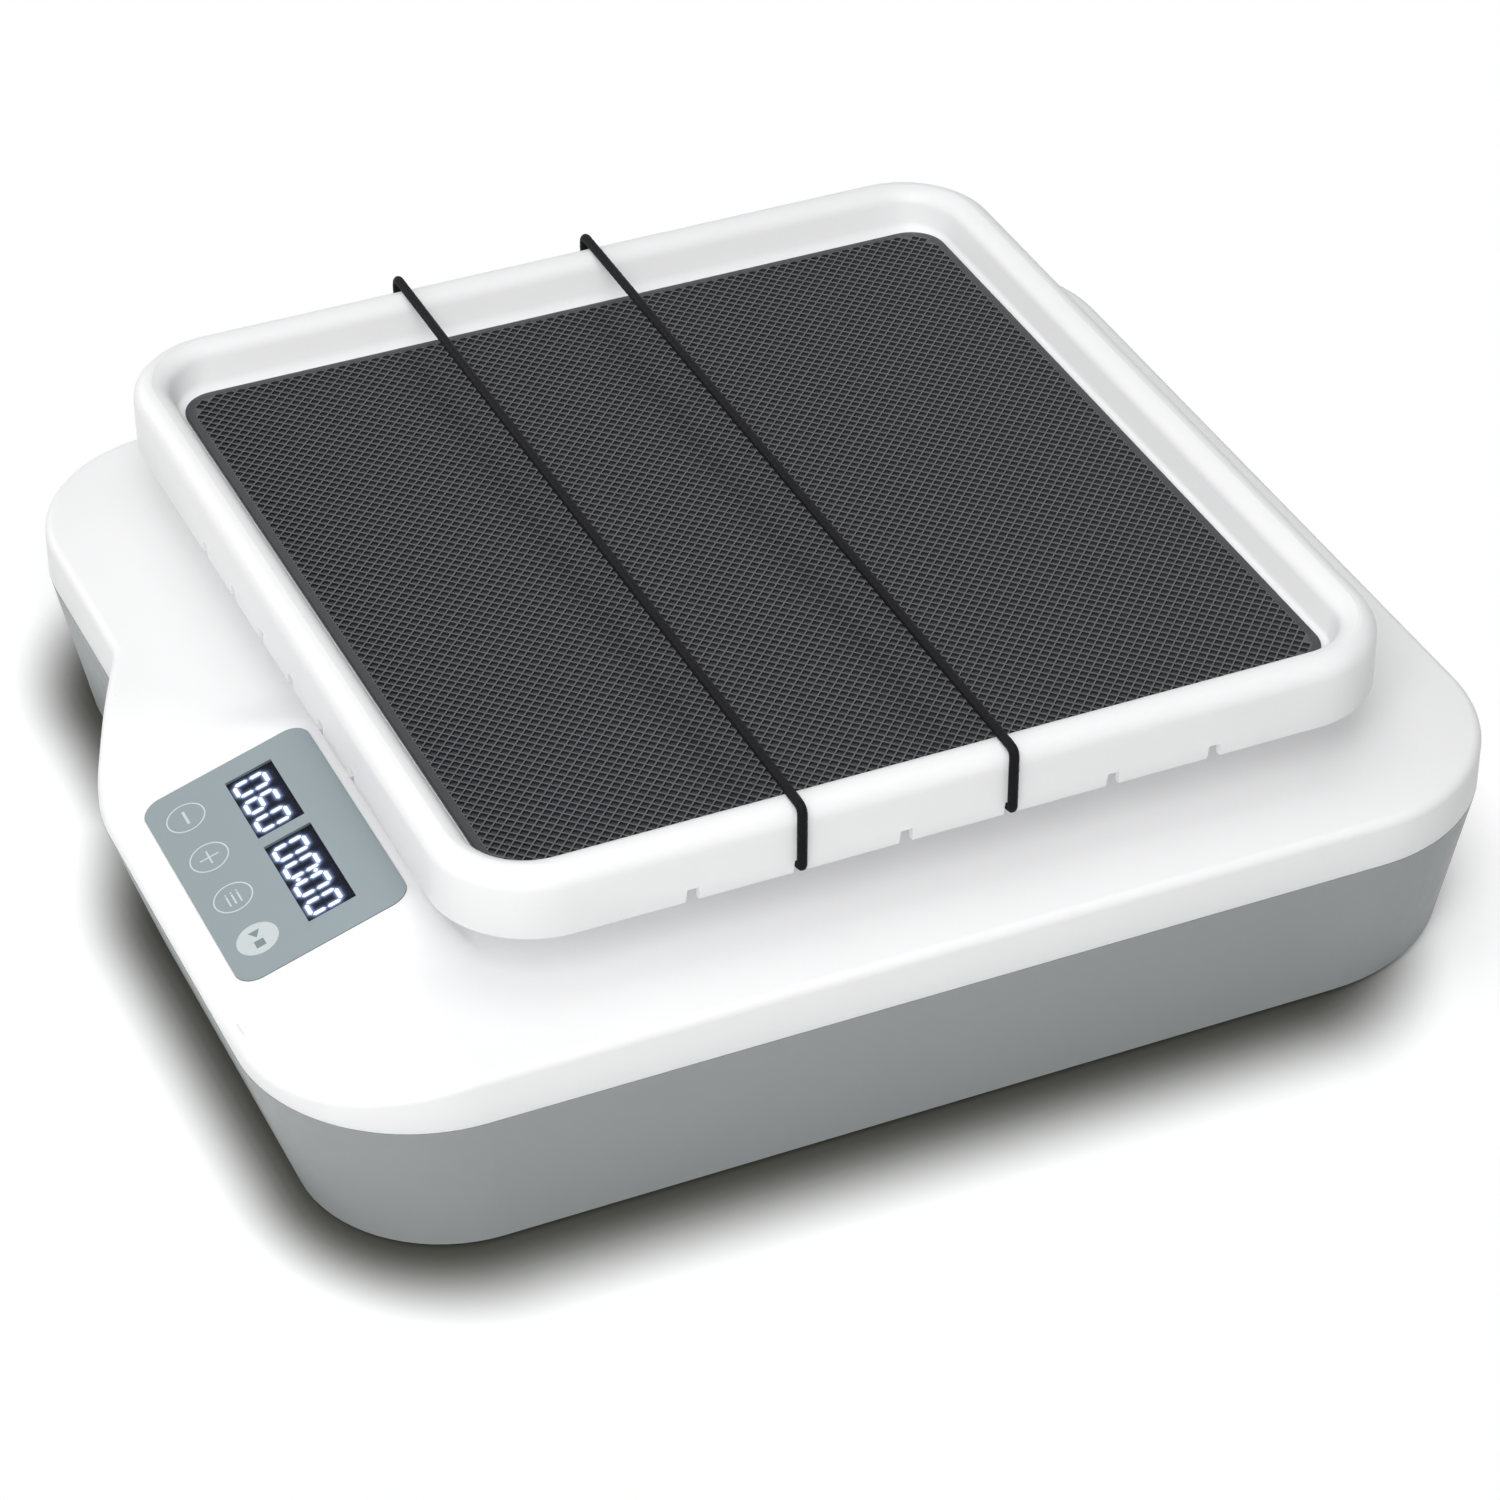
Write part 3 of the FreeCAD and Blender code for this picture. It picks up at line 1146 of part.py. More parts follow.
def motor():
    middle = ("-belt_centres", "tray_shift")
    loop = extrude("belt_outside", belt_wire(value("belt_gap + belt_thickness")), "belt_width")
    core = extrude("belt_inside", belt_wire(value("belt_gap")), "belt_width")
    keep("drive_belt", cut("drive_belt", loop, [core]))
    keep("motor_housing", rod("motor_housing", "motor_radius", "motor_length", (*middle, "motor_level")))
    shaft_low = "pulley_level - flange_thickness"
    shaft_tall = f"motor_level - roller_gap / 2 - ({shaft_low})"
    keep("motor_shaft", rod("motor_shaft", "motor_shaft_radius", shaft_tall, (*middle, shaft_low)))
    bore = rod("motor_pulley_bore", "motor_shaft_radius", "pulley_width + 2 * overrun",
               (*middle, "pulley_level - overrun"))
    wheel = flanged_pulley("motor_pulley_blank", "motor_pulley_radius", middle)
    keep("motor_pulley", cut("motor_pulley", wheel, [bore]))
    bracket_parts = [slab("bracket_top", ("bracket_width", "2 * bracket_half_depth", "bracket_thickness"),
                          middle, "bracket_under")]
    tools = [rod("bracket_shaft_hole", "motor_shaft_radius + motor_shaft_play",
                 "bracket_thickness + 2 * overrun", (*middle, "bracket_under - overrun"))]
    bracket_screws, motor_screws = [], []
    for j in (1, -1):
        wall_y = f"tray_shift + {j} * (bracket_half_depth - bracket_thickness / 2)"
        foot_y = f"tray_shift + {j} * (bracket_half_depth - bracket_thickness + bracket_foot / 2)"
        wall_size = ("bracket_width", "bracket_thickness", "bracket_level")
        foot_size = ("bracket_width", "bracket_foot", "bracket_thickness")
        bracket_parts.append(slab(f"bracket_wall_{j + 1}", wall_size, (middle[0], wall_y), "chassis_top"))
        bracket_parts.append(slab(f"bracket_foot_{j + 1}", foot_size, (middle[0], foot_y), "chassis_top"))
        for k in (1, -1):
            x = f"-belt_centres + {k} * bracket_screw_spread"
            y = f"tray_shift + {j} * (bracket_half_depth + (bracket_foot - bracket_thickness) / 2)"
            tools.append(rod(f"bracket_hole_{j + 1}_{k + 1}", "chassis_screw_radius",
                             "bracket_thickness + overrun", (x, y, "chassis_top - overrun / 2")))
            bracket_screws.append(pan_screw(f"bracket_screw_{j + 1}_{k + 1}", "chassis_screw_radius",
                                            "bracket_thickness", (x, y, "chassis_top + bracket_thickness")))
    for i, (x, y) in enumerate(corner_places("motor_screw_spread", "motor_screw_spread", *middle)):
        radius = "motor_screw_radius"
        tools.append(rod(f"bracket_motor_hole_{i}", radius, "bracket_thickness + 2 * overrun",
                         (x, y, "bracket_under - overrun")))
        head = rod(f"motor_head_{i}", f"{radius} * screw_head_ratio", radius,
                   (x, y, f"bracket_under - {radius}"))
        shank = rod(f"motor_shank_{i}", radius, "bracket_thickness", (x, y, "bracket_under"))
        motor_screws.append(join(f"motor_screw_{i}", [head, shank]))
    keep("motor_bracket", cut("motor_bracket", join("bracket_blank", bracket_parts), tools))
    keep("bracket_screws", together("bracket_screws", bracket_screws))
    keep("motor_screws", together("motor_screws", motor_screws))


def main_board():
    board_top = "board_level + board_thickness"
    y_low = "-main_board_shift - main_board_length / 2"
    plate = box("main_board_blank", ("main_board_width", "main_board_length", "board_thickness"),
                ("main_board_start", y_low, "board_level"))
    holes, standoffs, screws = [], [], []
    for i, (x, y) in enumerate(standoff_places()):
        radius = "standoff_screw_radius"
        holes.append(rod(f"main_board_hole_{i}", f"{radius} + screw_clearance",
                         "board_thickness + 2 * overrun", (x, y, "board_level - overrun")))
        post = rod(f"standoff_post_{i}", "standoff_radius", "standoff_height", (x, y, "floor_top"))
        bore = rod(f"standoff_bore_{i}", radius, "standoff_height / 2",
                   (x, y, "board_level - standoff_height / 2"))
        standoffs.append(cut(f"standoff_{i}", post, [bore]))
        screws.append(pan_screw(f"main_board_screw_{i}", radius, "board_thickness + standoff_height / 2",
                                (x, y, board_top)))
    keep("main_board", cut("main_board", plate, holes))
    keep("board_standoffs", together("board_standoffs", standoffs))
    keep("main_board_screws", together("main_board_screws", screws))
    x = "main_board_start + main_board_width / 2"
    parts = [rod(f"capacitor_{i}", "capacitor_radius", "capacitor_height",
                 (x, f"-main_board_shift + {i} * capacitor_pitch", board_top)) for i in (1, 2)]
    parts.append(slab("heat_sink", ("heat_sink_width", "heat_sink_length", "heat_sink_height"),
                      (x, "-main_board_shift - heat_sink_length / 2"), board_top))
    keep("board_components", together("board_components", parts))
    keep("power_supply", box("power_supply", ("supply_width", "supply_depth", "supply_height"),
                             ("supply_start", "supply_back - supply_depth", "floor_top")))


def back_fitting(name, width, height, flange, depth, socket):
    """A fitting for the back wall, modelled upright with Y out of the wall, and hollowed by its socket."""
    body = box(name + "_body", (width, depth, height), (f"-({width}) / 2", f"-({depth})", f"-({height}) / 2"))
    wide, tall = f"{width} + 2 * {flange}", f"{height} + 2 * {flange}"
    plate = box(name + "_plate", (wide, "fitting_flange_depth", tall),
                (f"-({wide}) / 2", "-fitting_flange_depth", f"-({tall}) / 2"))
    return cut(name + "_shell", join(name + "_blank", [body, plate]), [socket])


def mains_inlet():
    socket = box("inlet_socket",
                 ("inlet_socket_width", "inlet_socket_depth + overrun", "inlet_socket_height"),
                 ("-inlet_socket_width / 2", "-inlet_socket_depth", "-inlet_socket_height / 2"))
    shell = back_fitting("inlet", "inlet_width", "inlet_height", "inlet_flange", "inlet_depth", socket)
    keep("mains_inlet", lean("mains_inlet", [shell], "inlet_side"))
    pins = []
    for i, drop in ((-1, 0), (0, 1), (1, 0)):
        at = (f"{i} * inlet_pin_spread - inlet_pin_width / 2", "-inlet_socket_depth",
              f"inlet_pin_drop / 2 - {drop} * inlet_pin_drop - inlet_pin_height / 2")
        size = ("inlet_pin_width", "inlet_pin_length", "inlet_pin_height")
        pins.append(box(f"inlet_pin_{i + 1}", size, at))
    keep("inlet_pins", lean("inlet_pins", pins, "inlet_side"))


def mains_switch():
    opening_width = "bezel_width - 2 * bezel_wall"
    opening_height = "bezel_height - 2 * bezel_wall"
    opening = box("bezel_opening", (opening_width, "rocker_depth + overrun * 2", opening_height),
                  (f"-({opening_width}) / 2", "-rocker_depth - overrun", f"-({opening_height}) / 2"))
    shell = back_fitting("bezel", "bezel_width", "bezel_height", "bezel_flange", "bezel_depth", opening)
    pin = rod("rocker_pin", "rocker_pin_radius", "bezel_width - bezel_wall",
              ("-(bezel_width - bezel_wall) / 2", "-rocker_depth / 2", "0"), "X")
    keep("switch_bezel", lean("switch_bezel", [join("bezel_with_pin", [shell, pin])], "switch_side"))
    wide, tall = f"{opening_width} - 2 * rocker_gap", f"{opening_height} - 4 * rocker_gap"
    low = f"-({wide}) / 2"
    cap = box("rocker_cap", (wide, "rocker_proud * 2 + bezel_wall", tall),
              (low, "rocker_depth / 2 - rocker_proud - bezel_wall", f"-({tall}) / 2"))
    hub = rod("rocker_hub", "rocker_pin_radius * 2", wide, (low, "0", "0"), "X")
    web = box("rocker_web", (wide, "rocker_depth / 2", "rocker_pin_radius * 2"),
              (low, "0", "-rocker_pin_radius"))
    bore = rod("rocker_bore", "rocker_pin_radius + shaft_play", wide, (low, "0", "0"), "X")
    turned = together("rocker_turned", [cut("rocker_blank", join("rocker_solid", [cap, hub, web]), [bore])])
    turned.Placement.Rotation = FreeCAD.Rotation(FreeCAD.Vector(1, 0, 0), 1)
    bind(turned, Placement__Rotation__Angle="rocker_tilt")
    place(turned, ("0", "-rocker_depth / 2", "0"))
    keep("switch_rocker", lean("switch_rocker", [turned], "switch_side"))


def check(piece):
    if {"Invalid", "Error"} & set(piece.State):
        raise RuntimeError(f"{piece.Label} failed: {piece.State}")


base_shell()
rubber_feet()
housing_screws()
top_cover()
control_panel()
keys()
display("speed", "060")
display("timer", "00:00")
display_board()
shaking_tray()
tray_screws()
cords()
chassis()
guide_rods()
carriage()
crank()
motor()
main_board()
mains_inlet()
mains_switch()

doc.recompute()
for piece in doc.Objects:
    check(piece)
for name, piece in finished.items():
    if piece.Shape.isNull() or not piece.Shape.isValid():
        raise RuntimeError(f"{name} has no valid shape")
os.makedirs("parts", exist_ok=True)
for name, piece in finished.items():
    piece.Shape.exportStep(f"parts/{name}.step")
print(len(finished), "sub-parts")
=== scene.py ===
# The looks of a linear benchtop shaker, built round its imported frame: +X right, -Y to the operator, +Z up.
# Sizes are in millimetres, and MM turns them into the scene's metres.
import bmesh
import bpy
import math
from mathutils import Matrix, Vector
from mathutils.bvhtree import BVHTree
from mathutils.geometry import delaunay_2d_cdt

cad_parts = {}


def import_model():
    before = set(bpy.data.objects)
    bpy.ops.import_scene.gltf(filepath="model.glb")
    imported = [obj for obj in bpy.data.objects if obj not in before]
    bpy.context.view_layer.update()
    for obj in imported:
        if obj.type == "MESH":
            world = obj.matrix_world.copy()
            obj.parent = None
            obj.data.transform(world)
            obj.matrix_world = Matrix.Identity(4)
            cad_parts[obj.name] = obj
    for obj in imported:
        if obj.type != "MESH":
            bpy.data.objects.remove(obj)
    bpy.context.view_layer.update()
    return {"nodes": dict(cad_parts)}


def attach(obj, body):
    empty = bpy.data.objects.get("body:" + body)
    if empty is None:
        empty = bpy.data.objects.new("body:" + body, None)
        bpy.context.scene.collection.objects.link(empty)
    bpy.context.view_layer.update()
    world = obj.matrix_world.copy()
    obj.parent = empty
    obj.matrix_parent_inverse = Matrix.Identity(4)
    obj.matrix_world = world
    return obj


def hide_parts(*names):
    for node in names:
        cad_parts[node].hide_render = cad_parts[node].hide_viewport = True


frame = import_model()

MM = 0.001
nodes = frame["nodes"]

# Outline of the machine, seen from above, the same as in the part: corners with their radii
HALF_WIDTH, HALF_LENGTH = 173.4, 194.8
BACK_RADIUS, LEFT_RADIUS, RIGHT_RADIUS = 56.0, 52.0, 53.5
NOSE_STEP, NOSE_ANGLE = 25.0, math.radians(24.0)
NECK_OFFSET, NECK_RADIUS, SHOULDER_RADIUS = 61.5, 11.0, 60.0
NOSE, LEFT_LINE = -HALF_LENGTH, NOSE_STEP - HALF_LENGTH
BODY_CORNERS = [(HALF_WIDTH, HALF_LENGTH, BACK_RADIUS), (-HALF_WIDTH, HALF_LENGTH, BACK_RADIUS),
                (-HALF_WIDTH, LEFT_LINE, LEFT_RADIUS), (-NECK_OFFSET, LEFT_LINE, NECK_RADIUS),
                ((LEFT_LINE - NOSE) / math.tan(NOSE_ANGLE) - NECK_OFFSET, NOSE, SHOULDER_RADIUS),
                (HALF_WIDTH, NOSE, RIGHT_RADIUS)]
# Cover
BASE_TOP, DECK = 51.0, 67.0
COVER_SHELL = 2.2
COVER_EDGE = 3.0
COVER_FOOT = 0.5
LIP = 54.0
CONSOLE_TILT = math.radians(18.0)
PANEL_LEFT, PANEL_WIDTH, PANEL_SETBACK, PANEL_DEPTH, PANEL_RADIUS = 7.0, 90.8, 10.3, 54.3, 6.5
PANEL_PROUD, PANEL_GAP, POCKET_DEPTH = 0.2, 0.2, 0.8
PANEL_MIDDLE = (PANEL_LEFT + PANEL_WIDTH / 2, PANEL_SETBACK + PANEL_DEPTH / 2)
CONSOLE_MARGIN, CONSOLE_RUN, FLANK_RUN = 3.4, 8.0, 28.0
CORNER_LIP, CORNER_RUN = 57.5, 45.0
CREST_REACH = (PANEL_SETBACK + PANEL_DEPTH + CONSOLE_MARGIN) * math.cos(CONSOLE_TILT)
CREST_LEVEL = LIP + CREST_REACH * math.tan(CONSOLE_TILT)
SLOT_HALF_X, SLOT_HALF_Y, SLOT_RADIUS = 14.0, 9.0, 8.9
# Tray, and the posts under it
TRAY_SHIFT = 9.2
POSTS = [(x, y + TRAY_SHIFT) for x in (-62.0, 62.0) for y in (-72.0, 72.0)]
TRAY_HALF_X, TRAY_HALF_Y, TRAY_RADIUS = 153.8, 147.1, 31.0
TRAY_LOW, TRAY_TOP, TRAY_WALL, RIM_ROUND = 91.5, 113.0, 2.3, 6.0
TRAY_FLOOR_TOP, TRAY_FLOOR_UNDER, GROOVE_TOP, GROOVE_WIDTH = 99.7, 96.7, 106.5, 5.0
RIM_WIDTH, RIM_INNER_ROUND = 10.2, 7.0
WELL_RADIUS = 13.0
# How far the inner slope leans, and the radius at its foot, on the sides and on the ends
SLOPE_SIDE, FOOT_SIDE = 6.2, 6.5
SLOPE_END, FOOT_END = 4.2, 4.0
NOTCH_PITCH_SIDE, NOTCH_PITCH_END = 32.5, 25.25
NOTCH_WIDTH, NOTCH_SLANT, NOTCH_DEPTH, NOTCH_COUNT = 4.4, 0.8, 4.3, 6
# Mat
MAT_HALF_X, MAT_HALF_Y, MAT_RADIUS, MAT_THICKNESS = 135.5, 131.2, 11.5, 1.8
# Cords
CORD_RADIUS = 1.5


def link(name, data):
    """A new object in the scene."""
    obj = bpy.data.objects.new(name, data)
    bpy.context.scene.collection.objects.link(obj)
    return obj


def new_mesh(name, points, faces):
    """A mesh from points in millimetres."""
    mesh = bpy.data.meshes.new(name)
    mesh.from_pydata([Vector(p) * MM for p in points], [], faces)
    return mesh


def mesh_object(name, points, faces, body, smooth_angle=None):
    """A new piece from points in millimetres, riding on a body."""
    mesh = new_mesh(name, points, faces)
    mesh.validate()
    piece = link(name, mesh)
    if smooth_angle is not None:
        smooth_shade(mesh, smooth_angle)
    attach(piece, body)
    return piece


def paint(piece, material):
    piece.data.materials.clear()
    piece.data.materials.append(material)


def face_outwards(mesh):
    """Turn a mesh's faces outwards, judged by the highest of them."""
    solid = bmesh.new()
    solid.from_mesh(mesh)
    bmesh.ops.recalc_face_normals(solid, faces=solid.faces)
    top = max(solid.faces, key=lambda face: face.calc_center_median().z)
    if top.normal.z < 0:
        bmesh.ops.reverse_faces(solid, faces=solid.faces)
    solid.to_mesh(mesh)
    solid.free()


def smooth_shade(mesh, angle):
    """Smooth shading that keeps edges sharper than an angle in degrees."""
    mesh.shade_smooth()
    mesh.set_sharp_from_angle(angle=math.radians(angle))


def share(x, low, high):
    """How far x is on its way from low to high, held between 0 and 1."""
    return min(1.0, max(0.0, (x - low) / (high - low)))


def eased(way):
    """A way from 0 to 1 with a gentle start and end."""
    return way * way * (3 - 2 * way)


def grid_cells(columns, rows):
    """Faces between points given row by row."""
    starts = [j * columns + i for j in range(rows - 1) for i in range(columns - 1)]
    return [(k, k + 1, k + columns + 1, k + columns) for k in starts]


# Camera: where the photograph was taken from, and what it looked at

CAMERA_PLACE = Vector((1131.0, -493.8, 921.5))
CAMERA_TARGET = Vector((97.1, -25.4, 91.5))
CAMERA_LENS, CAMERA_SHIFT, CAMERA_ROLL = 117.82, (-0.00787, -0.0005), math.radians(0.05)


def camera():
    data = bpy.data.cameras.new("camera")
    data.sensor_width = 36.0
    data.lens = CAMERA_LENS
    data.shift_x, data.shift_y = CAMERA_SHIFT
    data.clip_start, data.clip_end = 0.05, 20.0
    eye = link("camera", data)
    look = (CAMERA_TARGET - CAMERA_PLACE).to_track_quat("-Z", "Y").to_matrix().to_4x4()
    eye.matrix_world = Matrix.Translation(CAMERA_PLACE * MM) @ look @ Matrix.Rotation(CAMERA_ROLL, 4, "Z")
    bpy.context.scene.camera = eye


# Stage and light

WORLD_LIGHT, SKY_COLOUR = 0.2, (0.98, 0.99, 1.0, 1.0)
# The lamps look at one place. Each has its place and size in metres, its power, and whether it casts shadows
LAMP_TARGET = (0.0, 0.0, 0.06)
LAMPS = {
    "top": ((0.25, -0.25, 2.1), (1.4, 1.4), 4.5, True),
    "fill": ((0.35, -0.3, 2.1), (1.4, 1.4), 13.4, False),
    "key": ((1.14, -0.65, 1.27), (0.8, 0.8), 14.4, True),
    "low_right": ((1.3, -1.2, 0.98), (1.5, 0.8), 2.0, True),
    "low_front": ((-0.3, -1.8, 0.8), (1.3, 0.8), 4.3, True),
    "low_left": ((-1.7, -0.9, 0.7), (1.2, 0.8), 5.0, True),
}
# The floor reaches far out, with a fine grid near the machine to carry the shade
FLOOR_FAR, FLOOR_NEAR, FLOOR_CELL = 6000.0, 300.0, 3.0
# The shade's reach along each axis and its colour at the foot, up to SHADE_START of its reach
SHADE_REACH = (44.0, 28.0, 20.0)
SHADE_START, SHADE_DARK = 0.05, (0.075, 0.075, 0.064)
# Past SHADE_WANE the foot counts as shorter, by SHADE_CUT at the back, where the shade is weaker
SHADE_WANE, SHADE_CUT = 90.0, 34.0
# The floor's colour past the shade, and the distances between which it fades to the backdrop
FLOOR_WHITE, FADE_START, FADE_END = 1.15, 1.0, 2.4
FLOOR_PLAIN = (0.8, 0.8, 0.8, 1.0)


def settle(node, values):
    for name, value in values.items():
        node.inputs[name].default_value = value


def add(tree, kind, values=None):
    node = tree.nodes.new("ShaderNode" + kind)
    settle(node, values or {})
    return node


def seen_directly(tree):
    """One for the rays that see the white backdrop: camera, glossy and transmission rays."""
    rays = add(tree, "LightPath")
    total = rays.outputs["Is Camera Ray"]
    for name in ("Is Glossy Ray", "Is Transmission Ray"):
        highest = add(tree, "Math")
        highest.operation = "MAXIMUM"
        tree.links.new(total, highest.inputs[0])
        tree.links.new(rays.outputs[name], highest.inputs[1])
        total = highest.outputs[0]
    return total


def mixed(tree, factor, first, second):
    """A mix of two shaders' outputs by a factor."""
    mix = add(tree, "MixShader")
    for source, target in zip((factor, first, second), mix.inputs):
        tree.links.new(source, target)
    return mix.outputs[0]


def world():
    """A dim sky that lights the object, seen as plain white."""
    sky = bpy.data.worlds.new("studio")
    sky.use_nodes = True
    tree = sky.node_tree
    tree.nodes.clear()
    out = add(tree, "OutputWorld")
    white = add(tree, "Background", {"Strength": 1.0, "Color": (1.0, 1.0, 1.0, 1.0)})
    light = add(tree, "Background", {"Strength": WORLD_LIGHT, "Color": SKY_COLOUR})
    both = mixed(tree, seen_directly(tree), light.outputs[0], white.outputs[0])
    tree.links.new(both, out.inputs["Surface"])
    bpy.context.scene.world = sky


def foot_distance(places):
    """How far each place is from the base's foot, in shares of the shade's reach along each axis."""
    def scaled(place):
        return Vector(c / reach for c, reach in zip(place, SHADE_REACH))

    def shortened(place):
        return place - Vector((0.0, SHADE_CUT * share(place.y, SHADE_WANE, HALF_LENGTH), 0.0))
    mesh = nodes["base_shell"].data
    foot = BVHTree.FromPolygons([scaled(shortened(v.co / MM)) for v in mesh.vertices],
                                [p.vertices for p in mesh.polygons])
    return [foot.find_nearest(scaled(place))[3] for place in places]


def floor_colour(away):
    """Dark at the foot and white past the shade's reach. The last value is its share of backdrop."""
    way = eased(share(away, SHADE_START, 1.0))
    colour = [dark + (FLOOR_WHITE - dark) * way for dark in SHADE_DARK]
    return [*colour, share(away, FADE_START, FADE_END)]


def floor_material():
    """Plain where it lights the object, but seen with the painted shade, fading to the backdrop."""
    material = bpy.data.materials.new("floor")
    material.use_nodes = True
    tree = material.node_tree
    tree.nodes.clear()
    out = add(tree, "OutputMaterial")
    plain, seen = add(tree, "BsdfDiffuse", {"Color": FLOOR_PLAIN}), add(tree, "BsdfDiffuse")
    shade = add(tree, "Attribute")
    shade.attribute_name = "shade"
    tree.links.new(shade.outputs["Color"], seen.inputs["Color"])
    backdrop = add(tree, "Emission")
    faded = mixed(tree, shade.outputs["Alpha"], seen.outputs[0], backdrop.outputs[0])
    tree.links.new(mixed(tree, seen_directly(tree), plain.outputs[0], faded), out.inputs["Surface"])
    return material


def floor():
    """A floor with a soft dark shade along the foot of the base."""
    steps = round(2 * FLOOR_NEAR / FLOOR_CELL)
    lines = [-FLOOR_FAR, *(FLOOR_CELL * i - FLOOR_NEAR for i in range(steps + 1)), FLOOR_FAR]
    places = [Vector((x, y, 0.0)) for y in lines for x in lines]
    mesh = new_mesh("floor", places, grid_cells(len(lines), len(lines)))
    plane = link("floor", mesh)
    colours = [part for away in foot_distance(places) for part in floor_colour(away)]
    mesh.attributes.new("shade", "FLOAT_COLOR", "POINT").data.foreach_set("color", colours)
    paint(plane, floor_material())


def lamp(name, place, size, power, shadows):
    data = bpy.data.lights.new(name, "AREA")
    data.shape = "RECTANGLE"
    data.size, data.size_y = size
    data.energy = power
    data.use_shadow = shadows
    light = link(name, data)
    light.location = place
    light.rotation_mode = "QUATERNION"
    light.rotation_quaternion = (Vector(LAMP_TARGET) - Vector(place)).to_track_quat("-Z", "Y")


# Materials

# Grain of the faint clouds in millimetres, patches of even gloss in grains, and the depth of scratches
CLOUD_SIZE, GLOSS_PATCH, SCRATCH_DEPTH = 38.0, 9, 0.006
# How far the roughness strays on plastic and on metal, and the shade of scratches
GLOSS_SPREAD, METAL_SPREAD, SCRATCH_SHADE = 0.04, (-0.06, 0.08), 0.88
# The range that most of a noise's values fall in
NOISE_RANGE = {"From Min": 0.3, "From Max": 0.7}
# The mat: its colours in the cells and on the lines, where the paler colour on the lines is a painted
# highlight, and the share of the cells' depth where they blend
MAT_DARK, MAT_RIDGE_HIGHLIGHT, MAT_BLEND = (0.008, 0.0085, 0.011), (0.1, 0.102, 0.113), 0.3
# Its patches in the painted highlight on the lines and of gloss, with their size and range, and its grain's
# size and depth
MAT_HIGHLIGHT_PATCHES, MAT_GLOSS, MAT_GRAIN, MAT_SPECULAR = (2.2, 0.7, 1.0), (3.0, 0.3, 0.4), (0.3, 0.015), 0.42
# The panes' patches of gloss, and the colours of the dark displays and of the light on them
PANE_GLOSS, DISPLAY_DARK = (12.0, 0.03, 0.07), (0.003, 0.004, 0.009)
GLOW_DARK, GLOW_LIGHT = (0.0, 0.0, 0.001), (0.42, 0.56, 1.0)


def shader(name):
    material = bpy.data.materials.new(name)
    material.use_nodes = True
    tree = material.node_tree
    return material, tree, tree.nodes["Principled BSDF"]


def noise(tree, stretch, scale, detail):
    """Noise over the piece's own places, stretched along each axis."""
    place = add(tree, "TexCoord")
    mapping = add(tree, "Mapping", {"Scale": stretch})
    texture = add(tree, "TexNoise", {"Scale": scale, "Detail": detail})
    tree.links.new(place.outputs["Object"], mapping.inputs["Vector"])
    tree.links.new(mapping.outputs["Vector"], texture.inputs["Vector"])
    return texture.outputs["Fac"]


def grain(tree, size, detail=3.0):
    """Noise whose grains are about size millimetres."""
    return noise(tree, (1 / MM / size,) * 3, 1.0, detail)


def patches(tree, size, low, high, target):
    spread(tree, grain(tree, size), low, high, target)


def spread(tree, source, low, high, target):
    """Map the middle range of a noise onto a range of values, and feed it to a socket."""
    ranged = add(tree, "MapRange", {**NOISE_RANGE, "To Min": low, "To Max": high})
    tree.links.new(source, ranged.inputs["Value"])
    tree.links.new(ranged.outputs[0], target)


def tint(tree, source, dark, light, target):
    """Blend between two colours by a factor."""
    mix = add(tree, "Mix")
    mix.data_type = "RGBA"
    settle(mix, {"A": (*dark, 1.0), "B": (*light, 1.0)})
    tree.links.new(source, mix.inputs["Factor"])
    tree.links.new(mix.outputs["Result"], target)


def relief(tree, height, depth, target):
    """Bump from a factor, with its depth in millimetres."""
    bump = add(tree, "Bump", {"Strength": 1.0, "Distance": depth * MM})
    tree.links.new(height, bump.inputs["Height"])
    tree.links.new(bump.outputs["Normal"], target)


def moulded(name, colour, roughness, texture, depth, variation, specular):
    """Moulded plastic or paint: fine spark texture, faint cloudiness in colour and gloss."""
    material, tree, bsdf = shader(name)
    clouds = grain(tree, CLOUD_SIZE, 2.0)
    dark = tuple(c * (1 - variation) for c in colour)
    light = tuple(min(1.0, c * (1 + variation)) for c in colour)
    tint(tree, clouds, dark, light, bsdf.inputs["Base Color"])
    gloss = (roughness - GLOSS_SPREAD, roughness + GLOSS_SPREAD)
    patches(tree, texture * GLOSS_PATCH, *gloss, bsdf.inputs["Roughness"])
    relief(tree, grain(tree, texture), depth, bsdf.inputs["Normal"])
    settle(bsdf, {"Specular IOR Level": specular})
    return material


def metal(name, colour, roughness, brush=(1.0, 1.0, 1.0)):
    """Metal with scratches drawn out along the axis whose brush value is smallest."""
    material, tree, bsdf = shader(name)
    settle(bsdf, {"Metallic": 1.0})
    scratches = noise(tree, tuple(b / MM for b in brush), 2.0, 2.0)
    dark = tuple(c * SCRATCH_SHADE for c in colour)
    tint(tree, scratches, dark, colour, bsdf.inputs["Base Color"])
    spread(tree, scratches, *(roughness + stray for stray in METAL_SPREAD), bsdf.inputs["Roughness"])
    relief(tree, scratches, SCRATCH_DEPTH, bsdf.inputs["Normal"])
    return material


WHITE = (0.9, 0.9, 0.905)
GREY = (0.3, 0.32, 0.322)
